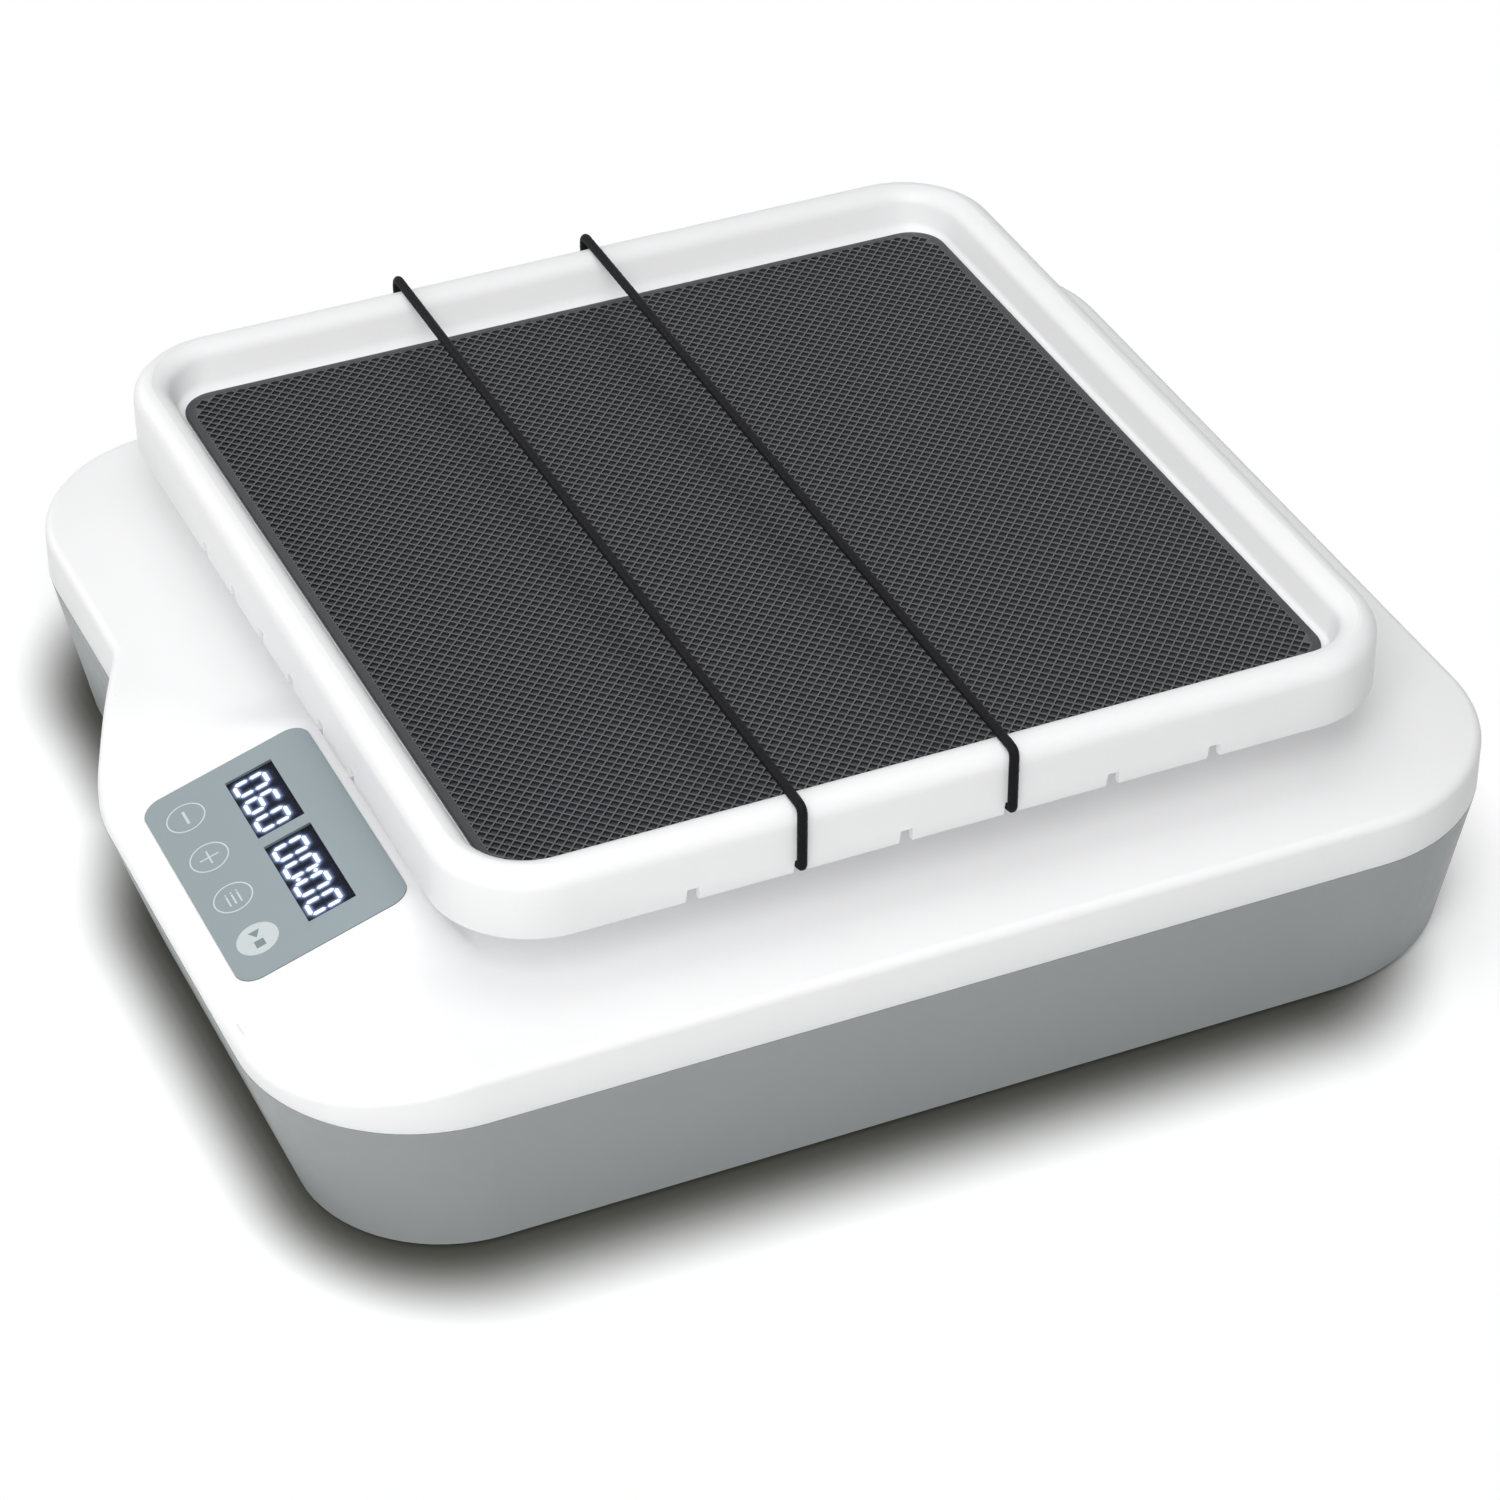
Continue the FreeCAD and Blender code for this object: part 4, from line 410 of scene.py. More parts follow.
# Colour, roughness, texture's grain and depth in millimetres, variation and specular level
MOULDED = {
    "white_abs": (WHITE, 0.42, 0.7, 0.006, 0.006, 0.4),
    "tray_abs": (WHITE, 0.38, 0.7, 0.006, 0.006, 0.4),
    "grey_abs": (GREY, 0.45, 0.6, 0.012, 0.02, 0.5),
    "foot_rubber": ((0.03, 0.03, 0.03), 0.75, 0.5, 0.02, 0.1, 0.3),
    "elastic_sleeve": ((0.006, 0.006, 0.007), 0.6, 0.25, 0.03, 0.15, 0.1),
    "panel_overlay": ((0.27, 0.325, 0.345), 0.2, 0.5, 0.003, 0.012, 0.5),
    "white_print": ((0.56, 0.62, 0.63), 0.4, 0.4, 0.002, 0.02, 0.3),
    "light_key": ((0.56, 0.61, 0.62), 0.3, 0.4, 0.003, 0.02, 0.4),
    "grey_print": ((0.2, 0.245, 0.26), 0.4, 0.4, 0.002, 0.02, 0.3),
    "black_nylon": ((0.014, 0.014, 0.015), 0.42, 0.5, 0.012, 0.1, 0.4),
    "natural_nylon": ((0.72, 0.7, 0.62), 0.45, 0.5, 0.008, 0.04, 0.4),
    "circuit_board": ((0.012, 0.14, 0.055), 0.35, 1.4, 0.02, 0.2, 0.5),
    "component_plastic": ((0.03, 0.03, 0.04), 0.4, 0.5, 0.01, 0.2, 0.4),
    "motor_paint": ((0.025, 0.025, 0.028), 0.38, 1.2, 0.03, 0.1, 0.5),
    "supply_paint": ((0.42, 0.43, 0.44), 0.5, 1.0, 0.02, 0.05, 0.4),
    "display_filter": (DISPLAY_DARK, 0.4, 0.5, 0.002, 0.1, 0.1),
}
# Colour, roughness, and the stretch of the scratches along each axis
METALS = {
    "zinc_steel": ((0.56, 0.56, 0.57), 0.36),
    "ground_steel": ((0.66, 0.66, 0.67), 0.16, (0.05, 2.0, 2.0)),
    "machined_aluminium": ((0.72, 0.73, 0.74), 0.32, (0.15, 2.0, 2.0)),
    "plated_brass": ((0.66, 0.5, 0.24), 0.3),
}


def make_materials():
    made = {name: moulded(name, *values) for name, values in MOULDED.items()}
    made.update((name, metal(name, *values)) for name, values in METALS.items())
    made.update(mat_rubber=mat_material(), clear_acrylic=window_material(), stroke_glow=glow_material(),
                lit_strokes=lit_material())
    return made


def window_material():
    """A thin clear pane without gloss, which lets almost all light through."""
    material, tree, bsdf = shader("clear_acrylic")
    settle(bsdf, {"Base Color": (0.02, 0.022, 0.03, 1.0), "Alpha": 0.12, "Specular IOR Level": 0.0})
    patches(tree, *PANE_GLOSS, bsdf.inputs["Roughness"])
    return material


def mat_material():
    """Black rubber whose raised lines are painted paler than its cells, a painted highlight."""
    material, tree, bsdf = shader("mat_rubber")
    place, split = add(tree, "TexCoord"), add(tree, "SeparateXYZ")
    tree.links.new(place.outputs["Object"], split.inputs["Vector"])
    top = TRAY_FLOOR_TOP + MAT_THICKNESS
    height = add(tree, "MapRange", {"From Min": (top - MAT_BLEND * CELL_DEPTH) * MM, "From Max": top * MM})
    tree.links.new(split.outputs["Z"], height.inputs["Value"])
    # Painted highlight: the raised lines are painted paler, more in some patches than in others
    raised = add(tree, "Math")
    raised.operation = "MULTIPLY"
    patches(tree, *MAT_HIGHLIGHT_PATCHES, raised.inputs[0])
    tree.links.new(height.outputs[0], raised.inputs[1])
    tint(tree, raised.outputs[0], MAT_DARK, MAT_RIDGE_HIGHLIGHT, bsdf.inputs["Base Color"])
    patches(tree, *MAT_GLOSS, bsdf.inputs["Roughness"])
    size, depth = MAT_GRAIN
    relief(tree, grain(tree, size), depth, bsdf.inputs["Normal"])
    settle(bsdf, {"Specular IOR Level": MAT_SPECULAR})
    return material


def glow_material():
    """Bluish light round the lit strokes, as strong as the value on the piece's points."""
    material, tree, bsdf = shader("stroke_glow")
    strength = add(tree, "Attribute")
    strength.attribute_name = "glow"
    settle(bsdf, {"Base Color": (*DISPLAY_DARK, 1.0), "Roughness": 0.5, "Specular IOR Level": 0.1,
                  "Emission Strength": 1.0})
    tint(tree, strength.outputs["Fac"], GLOW_DARK, GLOW_LIGHT, bsdf.inputs["Emission Color"])
    return material


def lit_material():
    material, _, bsdf = shader("lit_strokes")
    settle(bsdf, {"Base Color": (0.7, 0.76, 0.9, 1.0), "Roughness": 0.5,
                  "Emission Color": (0.8, 0.88, 1.0, 1.0), "Emission Strength": 0.95})
    return material


NODE_MATERIALS = {
    "grey_abs": "base_shell",
    "white_abs": "top_cover",
    "tray_abs": "shaking_tray",
    "mat_rubber": "tray_mat",
    "foot_rubber": "rubber_feet drive_belt",
    "elastic_sleeve": "front_cord rear_cord",
    "panel_overlay": "control_panel minus_key plus_key mode_key",
    "light_key": "start_key",
    "display_filter": "speed_display timer_display",
    "lit_strokes": "speed_digits timer_digits",
    "clear_acrylic": "speed_window timer_window",
    "black_nylon": "mains_inlet switch_bezel switch_rocker key_switches",
    "circuit_board": "display_board main_board",
    "zinc_steel": "housing_screws chassis_plate chassis_screws support_screws bracket_screws motor_screws "
                  "motor_bracket yoke_screws tray_screws display_screws main_board_screws counterweight "
                  "crank_shaft crank_pin motor_shaft",
    "ground_steel": "guide_rods",
    "machined_aluminium": "rod_supports linear_bearings platform_posts carriage_plate yoke_plate "
                          "crank_pulley motor_pulley crank_bearing cord_ferrules",
    "natural_nylon": "pin_roller board_standoffs",
    "motor_paint": "motor_housing",
    "supply_paint": "power_supply",
    "component_plastic": "board_components",
    "plated_brass": "inlet_pins",
}


def paint_nodes(materials):
    for material, names in NODE_MATERIALS.items():
        for name in names.split():
            paint(nodes[name], materials[material])


# Outlines

def arc_outline(corners, steps, gap):
    """A closed outline of (x, y, radius) corners: steps per arc, straights cut at most a gap apart."""
    places = [Vector((x, y)) for x, y, _ in corners]
    arcs = []
    for i, (_, _, radius) in enumerate(corners):
        corner = places[i]
        to_last = (places[i - 1] - corner).normalized()
        to_next = (places[(i + 1) % len(places)] - corner).normalized()
        half = to_last.angle(to_next) / 2
        centre = corner + (to_last + to_next).normalized() * (radius / math.sin(half))
        start, end = (corner + way * (radius / math.tan(half)) - centre for way in (to_last, to_next))
        turn = start.angle_signed(end)
        arc = []
        for k in range(steps + 1):
            a = -turn * k / steps
            arc.append(centre + Vector((start.x * math.cos(a) - start.y * math.sin(a),
                                        start.x * math.sin(a) + start.y * math.cos(a))))
        arcs.append(arc)
    points = []
    for arc, after in sides(arcs):
        a, b = arc[-1], after[0]
        cuts = max(1, math.ceil((b - a).length / gap))
        points += arc + [a.lerp(b, k / cuts) for k in range(1, cuts)]
    return points


def rounded_rectangle(half_x, half_y, radius, middle, steps, gap):
    x, y = middle
    corners = [(x + half_x, y + half_y, radius), (x - half_x, y + half_y, radius),
               (x - half_x, y - half_y, radius), (x + half_x, y - half_y, radius)]
    return arc_outline(corners, steps, gap)


def sides(loop):
    """Each place of a closed loop with the next one."""
    return zip(loop, loop[1:] + loop[:1])


def closed(start, count):
    """The edges of a closed row of points."""
    return [(start + i, start + (i + 1) % count) for i in range(count)]


def loft_rings(loops):
    """Points and faces between closed loops of as many points each."""
    points = [point for loop in loops for point in loop]
    count = len(loops[0])
    faces = []
    for k in range(len(loops) - 1):
        low, high = k * count, (k + 1) * count
        faces += [(low + i, low + j, high + j, high + i) for i, j in closed(0, count)]
    return points, faces


def block(loops):
    """A closed block through loops of as many points each."""
    points, faces = loft_rings(loops)
    count, total = len(loops[0]), len(points)
    return points, faces + [tuple(range(count))[::-1], tuple(range(total - count, total))]


def flat_net(points, count, flat, edges, tolerance, level):
    """Triangles between flat places. The first ones stand for the last count points, the others are added.

    Then come each corner's place, its flat places and its point, and the point of each flat place.
    """
    last = len(points) - count
    places, _, triangles, origin, _, _ = delaunay_2d_cdt(flat, edges, [], 0, tolerance, True)
    index = []
    for place, source in zip(places, origin):
        first = source[0]
        index.append(last + first if first < count else len(points))
        if first >= count:
            points.append(Vector((*place, level(first))))
    point_of = {number: point for point, source in zip(index, origin) for number in source}
    return triangles, places, origin, index, point_of


# Cover

# The raised block behind the console: how far it sinks past the deck, and its blends
BLOCK_SINK, BLOCK_BLEND, SLOPE_BLEND = 4.0, 4.0, 3.0
# How far above the deck the slopes end at the neck, and the gentle part of their way there
NECK_RISE, NECK_EASE = 6.0, 0.35
# Past this distance behind the crest the deck is flat
FLAT_FROM = CONSOLE_RUN + 6.0
# Steps per corner and largest gaps of the outlines, and the steps of the rounded edge
OUTLINE_STEPS, OUTLINE_GAP, EDGE_STEPS = 30, 5.0, 8
POCKET_STEPS, POCKET_GAP, SLOT_STEPS, SLOT_GAP = 10, 4.0, 8, 20.0
# The most of the wall's height that its edge takes, and of the way to the panel's middle that the ledge takes
EDGE_SHARE, LEDGE_SHARE = 0.72, 0.12
# Grids of places on the deck: a fine one round the console, and a coarse one behind it
FINE, FINE_MARGIN, FINE_THIN, FINE_LEFT = 1.5, 9.0, 8, 20.0
COARSE, COARSE_COLUMNS, COARSE_ROWS = 20.0, 17, 14
# How far their places keep from the rim and from holes, in shares of a grid's step
FINE_GAPS, COARSE_GAPS = (0.8, 0.7), (0.4, 0.2)
# Triangles of the deck with a smaller doubled area are dropped, and closer places are taken as one
SLIVER, DECK_TOLERANCE = 0.01, 1e-6
COVER_CREASE, TRAY_CREASE = 42, 35


def soft_min(a, b, blend):
    h = max(blend - abs(a - b), 0.0) / blend
    return min(a, b) - h * h * blend / 4


def soft_max(a, b, blend):
    return -soft_min(-a, -b, blend)


def slope_level(y, front, crease_y, crease_level):
    """The slope's level at y: from the front level to the crease, then on to the crest."""
    crest_y = NOSE + CREST_REACH
    if y < crease_y:
        return front + (y - NOSE) / (crease_y - NOSE) * (crease_level - front)
    return crease_level + (y - crease_y) / (crest_y - crease_y) * (CREST_LEVEL - crease_level)


def cover_level(x, y):
    """The level of the cover's top surface above a place."""
    crest_y = NOSE + CREST_REACH
    if y > crest_y + FLAT_FROM:
        return DECK
    edge = PANEL_LEFT + PANEL_WIDTH
    full = CREST_LEVEL - DECK + BLOCK_SINK
    block = CREST_LEVEL - full * max(0.0, (PANEL_LEFT - x) / FLANK_RUN, (x - edge) / FLANK_RUN,
                                     (y - crest_y) / CONSOLE_RUN)
    raised = soft_max(DECK, block, BLOCK_BLEND) if block > DECK - BLOCK_BLEND else DECK
    console_crease = NOSE + (DECK - LIP) / math.tan(CONSOLE_TILT)
    console = slope_level(y, LIP, console_crease, DECK)
    if x < PANEL_LEFT:
        free = DECK + NECK_RISE
        way = share(x, -NECK_OFFSET, PANEL_LEFT - CONSOLE_MARGIN)
        slope = free + (console - free) * (eased(way) * NECK_EASE + way * (1 - NECK_EASE))
    elif x < edge:
        slope = console
    else:
        corner = slope_level(y, CORNER_LIP, NOSE + CORNER_RUN, DECK)
        slope = console + (corner - console) * eased(share(x, edge, edge + FLANK_RUN))
    return soft_min(raised, slope, SLOPE_BLEND)


def panel_place(x, y, depth=0.0):
    """A place on the tilted console, a depth under its plane."""
    up, out = math.cos(CONSOLE_TILT), math.sin(CONSOLE_TILT)
    return Vector((x, NOSE + y * up + depth * out, LIP + y * out - depth * up))


def inside(place, loop):
    """Whether a place lies within a closed loop, in plan."""
    hit = False
    for a, b in sides(loop):
        if (a.y > place.y) != (b.y > place.y):
            if place.x < (b.x - a.x) * (place.y - a.y) / (b.y - a.y) + a.x:
                hit = not hit
    return hit


def near(place, loop, gap):
    return any((a - place).length < gap for a in loop)


def cover_wall(outline):
    """The cover's wall, with its rounded foot and edge."""
    count = len(outline)
    # The corners run anticlockwise, so these normals point inwards
    normals = []
    for i in range(count):
        along = (outline[(i + 1) % count] - outline[i - 1]).normalized()
        normals.append(Vector((-along.y, along.x)))

    def edge_round(i, turn):
        radius = min(COVER_EDGE, EDGE_SHARE * (cover_level(*outline[i]) - BASE_TOP))
        place = outline[i] + normals[i] * (radius * (1 - math.cos(turn)))
        return Vector((*place, cover_level(*place) - radius * (1 - math.sin(turn))))

    quarter = math.pi / 2
    loops = []
    for turn in (0.0, quarter / 2, quarter):
        inward, up = COVER_FOOT * (1 - math.sin(turn)), COVER_FOOT * (1 - math.cos(turn))
        loops.append([Vector((*(outline[i] + normals[i] * inward), BASE_TOP + up)) for i in range(count)])
    for back in (0.5, 0.0):
        loops.append([edge_round(i, 0.0).lerp(Vector((*outline[i], BASE_TOP + COVER_FOOT)), back)
                      for i in range(count)])
    for k in range(1, EDGE_STEPS + 1):
        loops.append([edge_round(i, k / EDGE_STEPS * quarter) for i in range(count)])
    return loft_rings(loops)


def pocket_outline():
    """The outline of the panel's pocket, in places on the console."""
    half_x, half_y = PANEL_WIDTH / 2 + PANEL_GAP, PANEL_DEPTH / 2 + PANEL_GAP
    radius = PANEL_RADIUS + PANEL_GAP
    return rounded_rectangle(half_x, half_y, radius, PANEL_MIDDLE, POCKET_STEPS, POCKET_GAP)


def post_slots():
    """Outlines of the four slots in which the tray's posts run."""
    return [rounded_rectangle(SLOT_HALF_X, SLOT_HALF_Y, SLOT_RADIUS, post, SLOT_STEPS, SLOT_GAP)
            for post in POSTS]


def deck_grid(rim, holes):
    """Places on the deck, close round the console and far apart behind it."""
    places = []

    def keep(place, step, rim_gap, hole_gap):
        if not inside(place, rim) or near(place, rim, step * rim_gap):
            return
        if not any(inside(place, hole) or near(place, hole, step * hole_gap) for hole in holes):
            places.append(place)
    for j in range(math.ceil((CREST_REACH + CONSOLE_RUN + FINE_MARGIN) / FINE)):
        for i in range(math.ceil(2 * HALF_WIDTH / FINE)):
            place = Vector((FINE * (i + 0.5 * (j % 2)) - HALF_WIDTH, NOSE + FINE * j))
            if place.x >= -NECK_OFFSET - FINE_LEFT or (i + j) % FINE_THIN == 0:
                keep(place, FINE, *FINE_GAPS)
    behind = NOSE + CREST_REACH + CONSOLE_RUN
    for j in range(COARSE_ROWS):
        for i in range(COARSE_COLUMNS):
            place = Vector((COARSE * (i - COARSE_COLUMNS // 2), behind + COARSE * (j + 1)))
            keep(place, COARSE, *COARSE_GAPS)
    return places


def add_pocket(points, faces, edge_row, pocket):
    """The pocket under the panel: a wall down from its edge, and a ledge."""
    n = len(pocket)
    low_row, ledge_row = len(points), len(points) + n
    points.extend(panel_place(*p, POCKET_DEPTH) for p in pocket)
    points.extend(panel_place(*p.lerp(Vector(PANEL_MIDDLE), LEDGE_SHARE), POCKET_DEPTH) for p in pocket)
    for i, j in closed(0, n):
        faces.append((edge_row[j], edge_row[i], low_row + i, low_row + j))
        faces.append((low_row + j, low_row + i, ledge_row + i, ledge_row + j))


def cover():
    outline = arc_outline(BODY_CORNERS, OUTLINE_STEPS, OUTLINE_GAP)
    points, faces = cover_wall(outline)
    count = len(outline)
    rim = [point.xy for point in points[-count:]]
    pocket = pocket_outline()
    holes = [[panel_place(*p).xy for p in pocket], *post_slots()]
    # The deck is triangulated between its rim, the panel's pocket and the slots
    flat, edges = list(rim), closed(0, count)
    for hole in holes:
        edges += closed(len(flat), len(hole))
        flat += hole
    flat += deck_grid(rim, holes)
    net = flat_net(points, count, flat, edges, DECK_TOLERANCE, lambda k: cover_level(*flat[k]))
    triangles, places, _, index, point_of = net
    for triangle in triangles:
        a, b, c = (places[k] for k in triangle)
        sliver = abs((b - a).cross(c - a)) < SLIVER
        centre = (a + b + c) / 3
        if not sliver and inside(centre, rim) and not any(inside(centre, hole) for hole in holes):
            faces.append(tuple(index[k] for k in triangle))
    add_pocket(points, faces, [point_of[count + i] for i in range(len(pocket))], pocket)
    piece = mesh_object("cover_shell", points, faces, "housing")
    face_outwards(piece.data)
    shell = piece.modifiers.new("shell", "SOLIDIFY")
    shell.thickness = COVER_SHELL * MM
    shell.offset = -1.0
    smooth_shade(piece.data, COVER_CREASE)
    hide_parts("top_cover")
    return piece


# Tray

# The wall's rounded lower edge, the share of it that its middle keeps, and the smallest corner radius
TRAY_EDGE, EDGE_BULGE, LEAST_RADIUS = 0.5, 0.3, 1.0
# Steps of a corner, of the rim's crown and of the inner slope, and the height of the band under the crown
CORNER_STEPS, CROWN_STEPS, SLOPE_STEPS, CROWN_BAND = 20, 10, 10, 3.0
# A gap so wide that the straights stay uncut, and how far cutters stand past what they cut
TRAY_UNCUT, SPARE = 1000.0, 2.0
# The mat's screws: radius of their holes, radius and depth of the countersink, and steps round them
SCREW_HOLE, SCREW_HEAD, HEAD_DEPTH, HEAD_SPARE, SCREW_STEPS = 2.6, 4.95, 2.35, 0.1, 24


def tray_loop(inset_side, inset_end, radius, level_side, level_end):
    """A rounded loop of the tray, whose insets and levels on its sides and ends may differ."""
    loop = rounded_rectangle(TRAY_HALF_X - inset_side, TRAY_HALF_Y - inset_end, radius, (0.0, TRAY_SHIFT),
                             CORNER_STEPS, TRAY_UNCUT)
    points = []
    for k, place in enumerate(loop):
        corner, step = divmod(k, CORNER_STEPS + 1)
        side = math.cos(math.pi / 2 * (corner + step / CORNER_STEPS)) ** 2
        points.append(Vector((*place, level_side * side + level_end * (1 - side))))
    return points


def inner_section(slope, foot_round):
    """Insets and levels down the tray's inner side: crown, slope and hollow."""
    drop = TRAY_TOP - TRAY_FLOOR_TOP
    steep = math.atan2(drop, slope)
    crown = RIM_WIDTH - RIM_INNER_ROUND * math.tan(steep / 2)
    foot = RIM_WIDTH + slope + foot_round * math.tan(steep / 2)
    down = [steep * k / SLOPE_STEPS for k in range(SLOPE_STEPS + 1)]
    over = [(crown + RIM_INNER_ROUND * math.sin(t), TRAY_TOP - RIM_INNER_ROUND * (1 - math.cos(t)))
            for t in down]
    hollow = [(foot - foot_round * math.sin(t), TRAY_FLOOR_TOP + foot_round * (1 - math.cos(t)))
              for t in reversed(down)]
    return over + hollow


def tray():
    groove, bulge = TRAY_WALL + GROOVE_WIDTH, TRAY_EDGE * EDGE_BULGE
    section = [(groove, TRAY_FLOOR_UNDER), (groove, GROOVE_TOP), (TRAY_WALL, GROOVE_TOP),
               (TRAY_WALL, TRAY_LOW + TRAY_EDGE), (TRAY_WALL - bulge, TRAY_LOW + bulge),
               (TRAY_WALL - TRAY_EDGE, TRAY_LOW), (TRAY_EDGE, TRAY_LOW), (bulge, TRAY_LOW + bulge),
               (0.0, TRAY_LOW + TRAY_EDGE), (0.0, TRAY_TOP - RIM_ROUND - CROWN_BAND)]
    for k in range(CROWN_STEPS + 1):
        turn = math.pi / 2 * k / CROWN_STEPS
        section.append((RIM_ROUND * (1 - math.cos(turn)), TRAY_TOP - RIM_ROUND + RIM_ROUND * math.sin(turn)))
    loops = [tray_loop(inset, inset, max(TRAY_RADIUS - inset, LEAST_RADIUS), level, level)
             for inset, level in section]
    drop = TRAY_TOP - TRAY_FLOOR_TOP
    insets = zip(inner_section(SLOPE_SIDE, FOOT_SIDE)[1:], inner_section(SLOPE_END, FOOT_END)[1:])
    for (side, level_side), (end, level_end) in insets:
        way = (TRAY_TOP - (level_side + level_end) / 2) / drop
        radius = (TRAY_RADIUS - RIM_WIDTH) * (1 - way) + WELL_RADIUS * way
        loops.append(tray_loop(side, end, radius, level_side, level_end))
    piece = mesh_object("tray_shell", *block(loops), "carriage")
    face_outwards(piece.data)
    cut_piece(piece, notch_cutters() + screw_cutters())
    smooth_shade(piece.data, TRAY_CREASE)
    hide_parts("shaking_tray")
    return piece


def cut_piece(piece, cutters):
    """Cut convex blocks, given as points and faces, out of a piece."""
    points, faces = [], []
    for block_points, block_faces in cutters:
        start = len(points)
        points += block_points
        faces += [tuple(start + k for k in face) for face in block_faces]
    mesh = new_mesh("cutters", points, faces)
    face_outwards(mesh)
    tool = link("cutters", mesh)
    modifier = piece.modifiers.new("cuts", "BOOLEAN")
    modifier.operation = "DIFFERENCE"
    modifier.solver = "EXACT"
    modifier.object = tool
    bpy.context.view_layer.update()
    done = bpy.data.meshes.new_from_object(piece.evaluated_get(bpy.context.evaluated_depsgraph_get()))
    piece.modifiers.clear()
    piece.data = done
    bpy.data.objects.remove(tool)


def notch_cutters():
    """The notches in the tray's lower edge, slanted on one side."""
    half = NOTCH_WIDTH / 2
    profile = ((-half, -SPARE), (half, -SPARE), (half, NOTCH_DEPTH), (NOTCH_SLANT - half, NOTCH_DEPTH))
    blocks = []
    side, end = (TRAY_HALF_X, NOTCH_PITCH_SIDE), (TRAY_HALF_Y, NOTCH_PITCH_END)
    for x, y, (reach, pitch) in ((1, 0, side), (0, 1, end), (-1, 0, side), (0, -1, end)):
        out, across = Vector((x, y, 0.0)), Vector((-y, x, 0.0))
        for i in range(NOTCH_COUNT):
            middle = Vector((0.0, TRAY_SHIFT, TRAY_LOW)) + across * ((i - (NOTCH_COUNT - 1) / 2) * pitch)
            blocks.append(block([[middle + out * way + across * a + Vector((0.0, 0.0, b)) for a, b in profile]
                                 for way in (reach - TRAY_WALL - SPARE, reach + SPARE)]))
    return blocks


def screw_cutters():
    """Holes for the four countersunk screws under the mat."""
    rings = ((TRAY_FLOOR_UNDER - SPARE, SCREW_HOLE), (TRAY_FLOOR_TOP - HEAD_DEPTH, SCREW_HOLE),
             (TRAY_FLOOR_TOP + HEAD_SPARE, SCREW_HEAD))
    turns = [math.tau * i / SCREW_STEPS for i in range(SCREW_STEPS)]
    return [block([[Vector((x + r * math.cos(t), y + r * math.sin(t), z)) for t in turns] for z, r in rings])
            for x, y in POSTS]


# Mat

# Cells of the diamond pattern: their pitch, the ridges between them, their depth and their walls' slope
CELL_X, CELL_Y, RIDGE = 3.936, 3.748, 0.42
CELL_DEPTH, CELL_SLOPE = 0.55, 0.2
# Cells keep clear of the border. A hem runs round them, a little lower than the ridges
MAT_BORDER, BORDER_SLACK, HEM_INSET, HEM_DROP = 2.8, 0.01, 2.55, 0.12
MAT_EDGE, MAT_BULGE, MAT_STEPS, MAT_GAP, HEM_GAP, MAT_CREASE = 0.35, 0.3, 16, 30.0, 8.0, 25
# Sides of a cell under SHORT_SIDE are dropped, and a cell that shrinks to one under LEAST_SIDE is left out
SHORT_SIDE, LEAST_SIDE, PARALLEL, MAT_TOLERANCE = 0.02, 0.05, 1e-6, 1e-7


def clip(polygon, half_x, half_y):
    """A convex polygon clipped to a rectangle about the origin."""
    for axis, limit, sign in ((0, half_x, 1), (0, half_x, -1), (1, half_y, 1), (1, half_y, -1)):
        kept = []
        for a, b in sides(polygon):
            in_a, in_b = sign * a[axis] <= limit, sign * b[axis] <= limit
            if in_a:
                kept.append(a)
            if in_a != in_b:
                way = (sign * limit - a[axis]) / (b[axis] - a[axis])
                kept.append(a.lerp(b, way))
        polygon = kept
        if not polygon:
            return []
    return polygon


def shrink(polygon, inset):
    """A convex polygon with each side moved inwards, or nothing if it is too small."""
    n = len(polygon)
    lines = []
    for a, b in sides(polygon):
        along = (b - a).normalized()
        normal = Vector((-along.y, along.x))
        lines.append((a + normal * inset, along))
    result = []
    for i in range(n):
        (p, u), (q, v) = lines[i - 1], lines[i]
        cross = u.x * v.y - u.y * v.x
        if abs(cross) < PARALLEL:
            return []
        t = ((q.x - p.x) * v.y - (q.y - p.y) * v.x) / cross
        result.append(p + u * t)
    for i in range(n):
        if (result[(i + 1) % n] - result[i]).dot(lines[i][1]) <= LEAST_SIDE:
            return []
    return result


def corner_gap(p):
    """How far a place is inside the mat's rounded outline."""
    x, y = abs(p.x) - (MAT_HALF_X - MAT_RADIUS), abs(p.y) - (MAT_HALF_Y - MAT_RADIUS)
    if x > 0 and y > 0:
        return MAT_RADIUS - math.hypot(x, y)
    return min(MAT_HALF_X - abs(p.x), MAT_HALF_Y - abs(p.y))


def mat_outline(inset, gap=MAT_GAP):
    half_x, half_y, radius = MAT_HALF_X - inset, MAT_HALF_Y - inset, MAT_RADIUS - inset
    return rounded_rectangle(half_x, half_y, radius, (0.0, 0.0), MAT_STEPS, gap)


def mat_cells():
    """The cells of the pattern, each with its rim and its smaller bottom."""
    cells = []
    across, up = math.ceil(MAT_HALF_X / CELL_X * 2), math.ceil(MAT_HALF_Y / CELL_Y * 2)
    corners = [Vector(d) for d in ((CELL_X / 2, 0), (0, CELL_Y / 2), (-CELL_X / 2, 0), (0, -CELL_Y / 2))]
    for i in range(-across, across + 1):
        for j in range(-up, up + 1):
            if (i + j) % 2:
                continue
            centre = Vector((i * CELL_X / 2, j * CELL_Y / 2))
            rim = shrink([centre + corner for corner in corners], RIDGE / 2)
            rim = clip(rim, MAT_HALF_X - MAT_BORDER, MAT_HALF_Y - MAT_BORDER)
            if len(rim) < 3 or min(corner_gap(p) for p in rim) < MAT_BORDER - BORDER_SLACK:
                continue
            rim = [a for a, b in sides(rim) if (a - b).length > SHORT_SIDE]
            bottom = shrink(rim, CELL_SLOPE) if len(rim) > 2 else []
            if bottom:
                cells.append((rim, bottom))
    return cells


